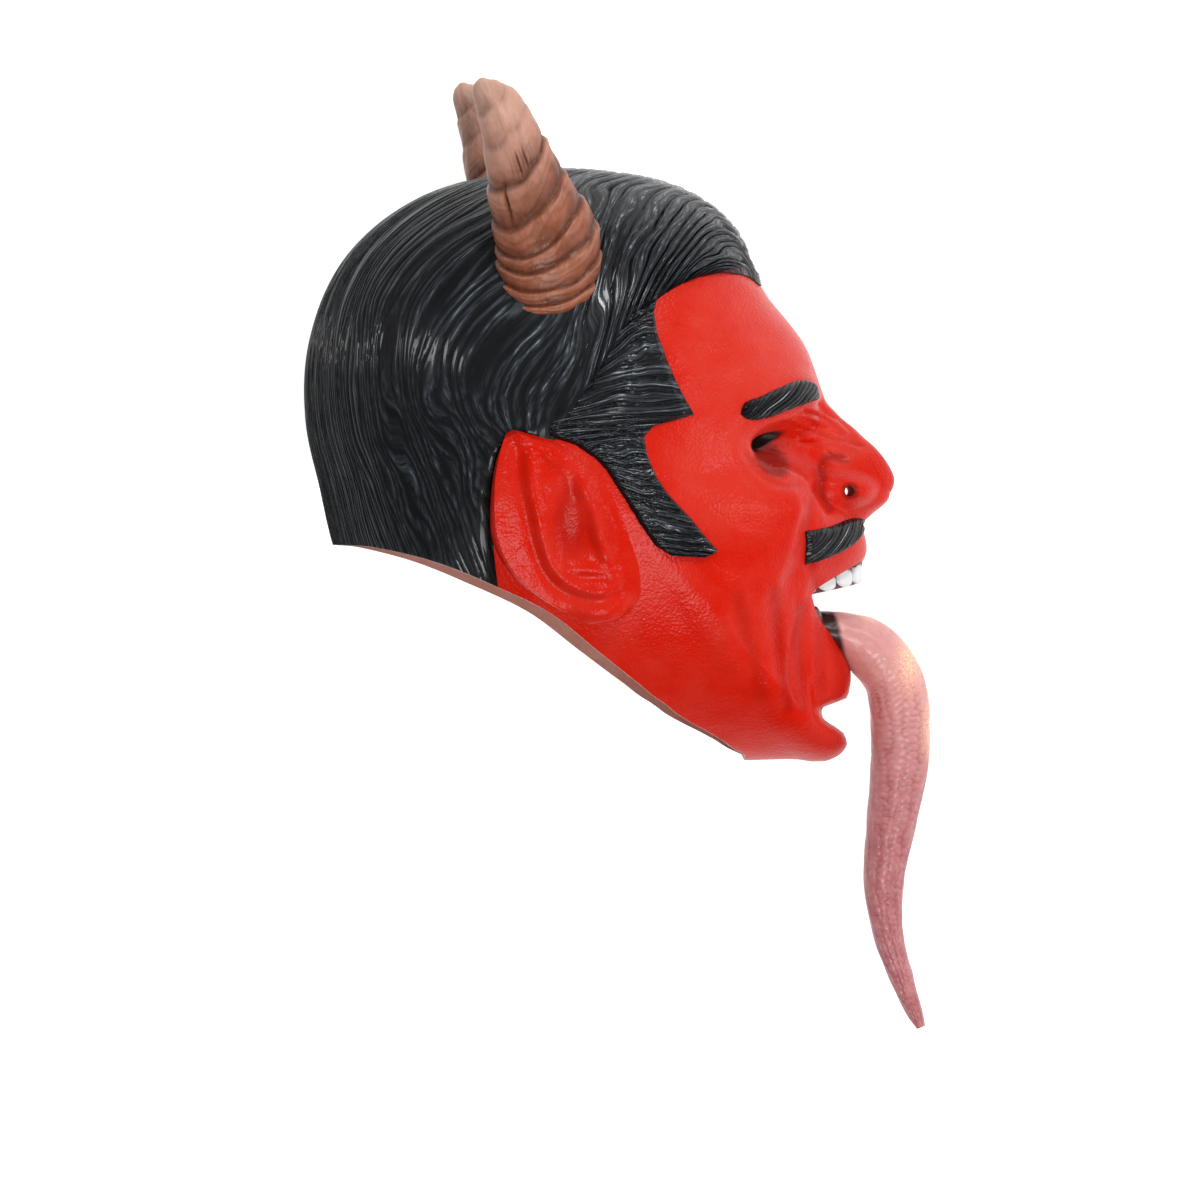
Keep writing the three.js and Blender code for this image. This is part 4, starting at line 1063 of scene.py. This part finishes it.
def gum_edge(y):
    """The lower edge of the upper gum, just under the tips of the teeth."""
    return -59.7 - 4 * (np.abs(y) / 23) ** 1.3


def make_gum(name, latex, front, depth, half, low, high):
    y = np.linspace(-half, half, 121)[:, None]
    turn = np.linspace(0, 2 * math.pi, 32, endpoint=False)
    deep, tall = rounded_section(turn, 0.7)
    closing = np.sqrt(np.clip((1 - np.abs(y / half)) / 0.08, 0, 1)) * 0.8 + 0.2
    bulge = 1 + 0.1 * np.cos(2 * math.pi * (y / TOOTH_SPACING - 0.5))
    x = front(y) - depth / 2 + depth / 2 * deep * closing * bulge
    bottom, top = low(y), high(y)
    z = (bottom + top) / 2 + (top - bottom) / 2 * tall * closing
    rings = np.stack([x, y + 0 * x, z], -1)
    points, _, faces = closed_tube(rings, rings[0].mean(0), rings[-1].mean(0))
    piece(name, points, turned_out(points, faces), [latex])


# Horns and tongue, as rings along a middle line
def swept(rows, steps, sides, section, lift=lambda gone, turn: 0 * turn):
    """A closed form along a middle line, with the way gone along it and the turns of its places."""
    share = np.linspace(0, 1, steps)
    centre = smooth_at(rows, share)[:, :3]
    after, before = np.minimum(1, share + 0.01), np.maximum(0, share - 0.01)
    ahead = (smooth_at(rows, after) - smooth_at(rows, before))[:, :3]
    ahead /= np.linalg.norm(ahead, axis=1, keepdims=True)
    side = np.array([0, 1.0, 0]) - ahead * ahead[:, 1:2]
    side /= np.linalg.norm(side, axis=1, keepdims=True)
    up = np.cross(ahead, side)
    turn = np.linspace(-0.5 * math.pi, 1.5 * math.pi, sides, endpoint=False)[None, :]
    gone = np.concatenate([[0], np.cumsum(np.linalg.norm(np.diff(centre, axis=0), axis=1))])[:, None]
    across, high = section(turn, smooth_at(rows, share)[:, 3:], gone)
    rings = (centre[:, None] + side[:, None] * across[..., None] + up[:, None] * high[..., None]
             + ahead[:, None] * (lift(gone, turn) + 0 * across)[..., None])
    points, _, faces = closed_tube(rings, centre[0], centre[-1])
    return points, turned_out(points, faces), gone, turn


def horn_relief(turn, gone):
    """Soft rings crowded at the base, then broad flakes with a few upright cuts."""
    level = gone + 1.5 * wander(51, 2 * np.sin(turn) + 5, gone / 12 + 2 * np.cos(turn))
    phase = np.interp(level, HORN_GROOVES, range(len(HORN_GROOVES)))
    saw = phase - np.floor(phase)
    ring = saw**0.6 * smooth(1.0, 0.78, saw)
    ringed = (0.35 + 0.65 * smooth(82, 60, level)) * smooth(120, 104, level)
    fine = crest(2.5 * phase + 0.8 * wander(53, 3 * np.sin(turn), gone / 5 + 2 * np.cos(turn)), 0.7)
    folds = wander(54, 2.2 * np.sin(turn) + 3, gone / 34 + 2.2 * np.cos(turn))
    cuts = bump((turn + 0.14) / 0.62, (gone - 70) / 8) * (1 - crest(7.5 * turn, 0.6))
    gash = bump((turn - 0.67) / 0.09, (gone - 57) / 11)
    return ring, ringed, fine, folds, np.maximum(cuts, gash)


def make_horns():
    def section(turn, size, gone):
        ring, ringed, fine, folds, cuts = horn_relief(turn, gone)
        flakes = wander(55, 5 * np.sin(turn) + 9, gone / 7 + 3 * np.cos(turn))
        raised = (2.1 * ringed * (ring - 0.6) - 0.25 * (1 - fine) * ringed + 1.3 * folds * (1.1 - ringed)
                  - 1.5 * cuts + 0.35 * flakes)
        base, tip = np.clip(1 - gone / 2.5, 0, 1), np.clip((gone - gone[-1] + 7) / 7, 0, 1)
        half = (size[:, :1] - 1.6 * base**2) * np.sqrt(1.03 - tip**2)
        half = half + raised * np.minimum(1, half / 12)
        return 0.82 * half * np.cos(turn), half * np.sin(turn)

    def lift(gone, turn):
        """The rings rise to the front, and hang lower on the outer side."""
        ahead, behind = ((1 - np.sin(turn)) / 2) ** 1.6, ((1 + np.sin(turn)) / 2) ** 1.6
        tilt = smooth(0, 24, gone)
        return ((8 + 8 * tilt) * ahead + (7 - 5 * tilt) * behind - 5 * np.cos(turn)) * smooth(118, 80, gone)

    shown = [tuple(smooth_at(HORN, 0.055)), *HORN[1:]]
    points, faces, gone, turn = swept(shown, 300, 120, section, lift)
    ring, ringed, fine, folds, cuts = horn_relief(turn, gone)
    ridge = ringed * ring + (1 - ringed) * (0.72 + 0.3 * folds) - 0.2 * (1 - fine) * ringed - 0.9 * cuts
    flow = np.stack([9 * np.cos(turn) + 0 * gone, gone + 0 * turn, 9 * np.sin(turn) + 0 * gone], -1)
    both_sides("horn_{}_look", points, faces, horn_paint(), node="horn_{}", cutters=[INSIDE_WALL],
               ridge=np.append(np.clip(ridge, 0, 1).ravel(), [0.5, 0.5]),
               flow=np.concatenate([flow.reshape(-1, 3), np.zeros((2, 3))]))


def tongue_relief(turn, gone):
    """Small scallops on the sides further down, and a ridge along the back."""
    u = 6 * turn / math.pi + 0.35 * wander(61, 4 * np.sin(turn) + 6, gone / 9 + 3 * np.cos(turn))
    v = gone / 3.4 + 0.5 * np.floor(u) + 0.35 * wander(62, 3 * np.sin(turn) + 6, gone / 7 + 3 * np.cos(turn))
    across, along = u - np.floor(u) - 0.5, v - np.floor(v) - 0.5
    scallop = np.sqrt(np.clip(1 - (across / 0.52) ** 2 - (along / 0.56) ** 2, 0, 1))
    shown = smooth(30, 90, gone) * smooth(0.97, 0.75, np.abs(np.sin(turn)))
    return 1 - shown * (1 - scallop), np.exp(-((turn - math.pi / 2) / 0.16) ** 2)


def make_tongue():
    rows = [(x, 0, z, thick, wide) for x, z, thick, wide in TONGUE]

    def section(turn, size, gone):
        scallop, upper = tongue_relief(turn, gone)
        thick, wide = size[:, :1], size[:, 1:2]
        mottled = 0.4 * wander(63, 4 * np.sin(turn) + 7, gone / 5 + 4 * np.cos(turn))
        raised = (0.8 * scallop - 0.65 + 0.7 * mottled) * smooth(0, 8, wide)
        groove = 0.1 * thick * bump((turn - math.pi / 2) / 0.5)
        return ((wide + raised) * np.cos(turn), (thick + raised) * np.sin(turn) - groove + 0.5 * upper)

    sides = 96
    points, faces, gone, turn = swept(rows, 440, sides, section)
    scallop, _ = tongue_relief(turn, gone)
    x, _, z = points.T
    glow = sum(bright * np.exp(-((x - lamp_x) / half_x) ** 2 - ((z - lamp_z) / half_z) ** 2)
               for bright, lamp_x, lamp_z, half_x, half_z in TONGUE_GLOW)
    pale = smooth(150, 40, np.append(np.repeat(gone, sides), [0, gone[-1, 0]]))
    piece("tongue_look", points, faces, [tongue_latex()], node="tongue",
          ridge=np.append(scallop.ravel(), [1, 1]), glow=glow, pale=pale,
          # Painted shade on the root inside the mouth
          dark=0.97 * smooth(116, 113, x + 0.25 * (z + 83)) * smooth(-120, -105, z))


def make_floor():
    """A sheet of pale paper, a little under the mask so that it doesn't flicker through."""
    reach, under = 3.0, 0.0003
    corners = [(-reach, -reach, 0), (reach, -reach, 0), (reach, reach, 0), (-reach, reach, 0)]
    mesh = bpy.data.meshes.new("floor")
    mesh.from_pydata(corners, [], [range(4)])
    mesh.materials.append(paint("floor_paper", PLAIN_FLOOR, 0.8, emission_strength=0.85,
                                emission_color=(1, 1, 1, 1))[0])
    floor = bpy.data.objects.new("floor", mesh)
    floor.location.z = -under
    bpy.context.scene.collection.objects.link(floor)


def soft_light(name, place, aim, size, power):
    """A square lamp at a place in upright millimetres, aimed at another."""
    lamp = bpy.data.lights.new(name, "AREA")
    lamp.size, lamp.energy = size, power
    made = bpy.data.objects.new(name, lamp)
    place, target = (Vector(turned_down(np.array(at, float))) for at in (place, aim))
    made.location = place
    made.rotation_euler = (target - place).to_track_quat("-Z", "Y").to_euler()
    bpy.context.scene.collection.objects.link(made)


def make_camera():
    """The photograph's view, level with the upright mask and a few degrees behind its right side."""
    aim = np.array([0, 0, VIEW_Z])
    toward = np.array([math.sin(VIEW_TURN), math.cos(VIEW_TURN), 0])
    places = (aim - VIEW_AWAY * toward, aim, aim + (0, 0, 1000))
    eye, target, above = (Vector(turned_down(place)) for place in places)
    back = (eye - target).normalized()
    right = (above - target).cross(back).normalized()
    camera = bpy.data.cameras.new("camera")
    camera.sensor_width = 36
    camera.lens = camera.sensor_width * VIEW_AWAY / VIEW_WIDTH
    camera.clip_start, camera.clip_end = 0.1, 50
    made = bpy.data.objects.new("camera", camera)
    axes = Matrix([right, back.cross(right), back]).transposed()
    made.matrix_world = Matrix.Translation(eye) @ axes.to_4x4()
    bpy.context.scene.collection.objects.link(made)
    bpy.context.scene.camera = made


def light_scene():
    scene = bpy.context.scene
    scene.view_settings.view_transform = "Standard"
    world = bpy.data.worlds.new("studio")
    world.use_nodes = True
    world.node_tree.nodes["Background"].inputs["Color"].default_value = (1, 1, 1, 1)
    world.node_tree.nodes["Background"].inputs["Strength"].default_value = 0.15
    scene.world = world
    soft_light("key", (350, -950, 900), (20, -60, 0), 0.26, 7.4)
    soft_light("front", (1100, -800, 100), (60, -60, -20), 0.22, 2.8)
    soft_light("back", (-900, -800, 500), (-60, -60, 40), 0.22, 2.4)
    soft_light("low", (100, -1100, -600), (20, -60, -60), 0.4, 8.6)


make_skin()
make_crown()
make_temples()
make_bands("eyebrow", EYEBROW, 2.6, 15, 6, -0.8)
make_bands("moustache", MOUSTACHE, 2.8, 13, 6, 4)
make_ears()
make_teeth()
gum = gum_latex()
make_gum("upper_gum", gum, lambda y: arch_at(y) - 2.0, 5, 30, gum_edge, lambda y: -44 + 0 * y)
make_gum("lower_gum", gum, lambda y: 113 - 0.02 * y * y, 10, 27, lambda y: -98 + 0 * y,
         lambda y: -86 + 16 * smooth(12, 19, np.abs(y)))
make_horns()
make_tongue()
make_floor()
make_camera()
light_scene()
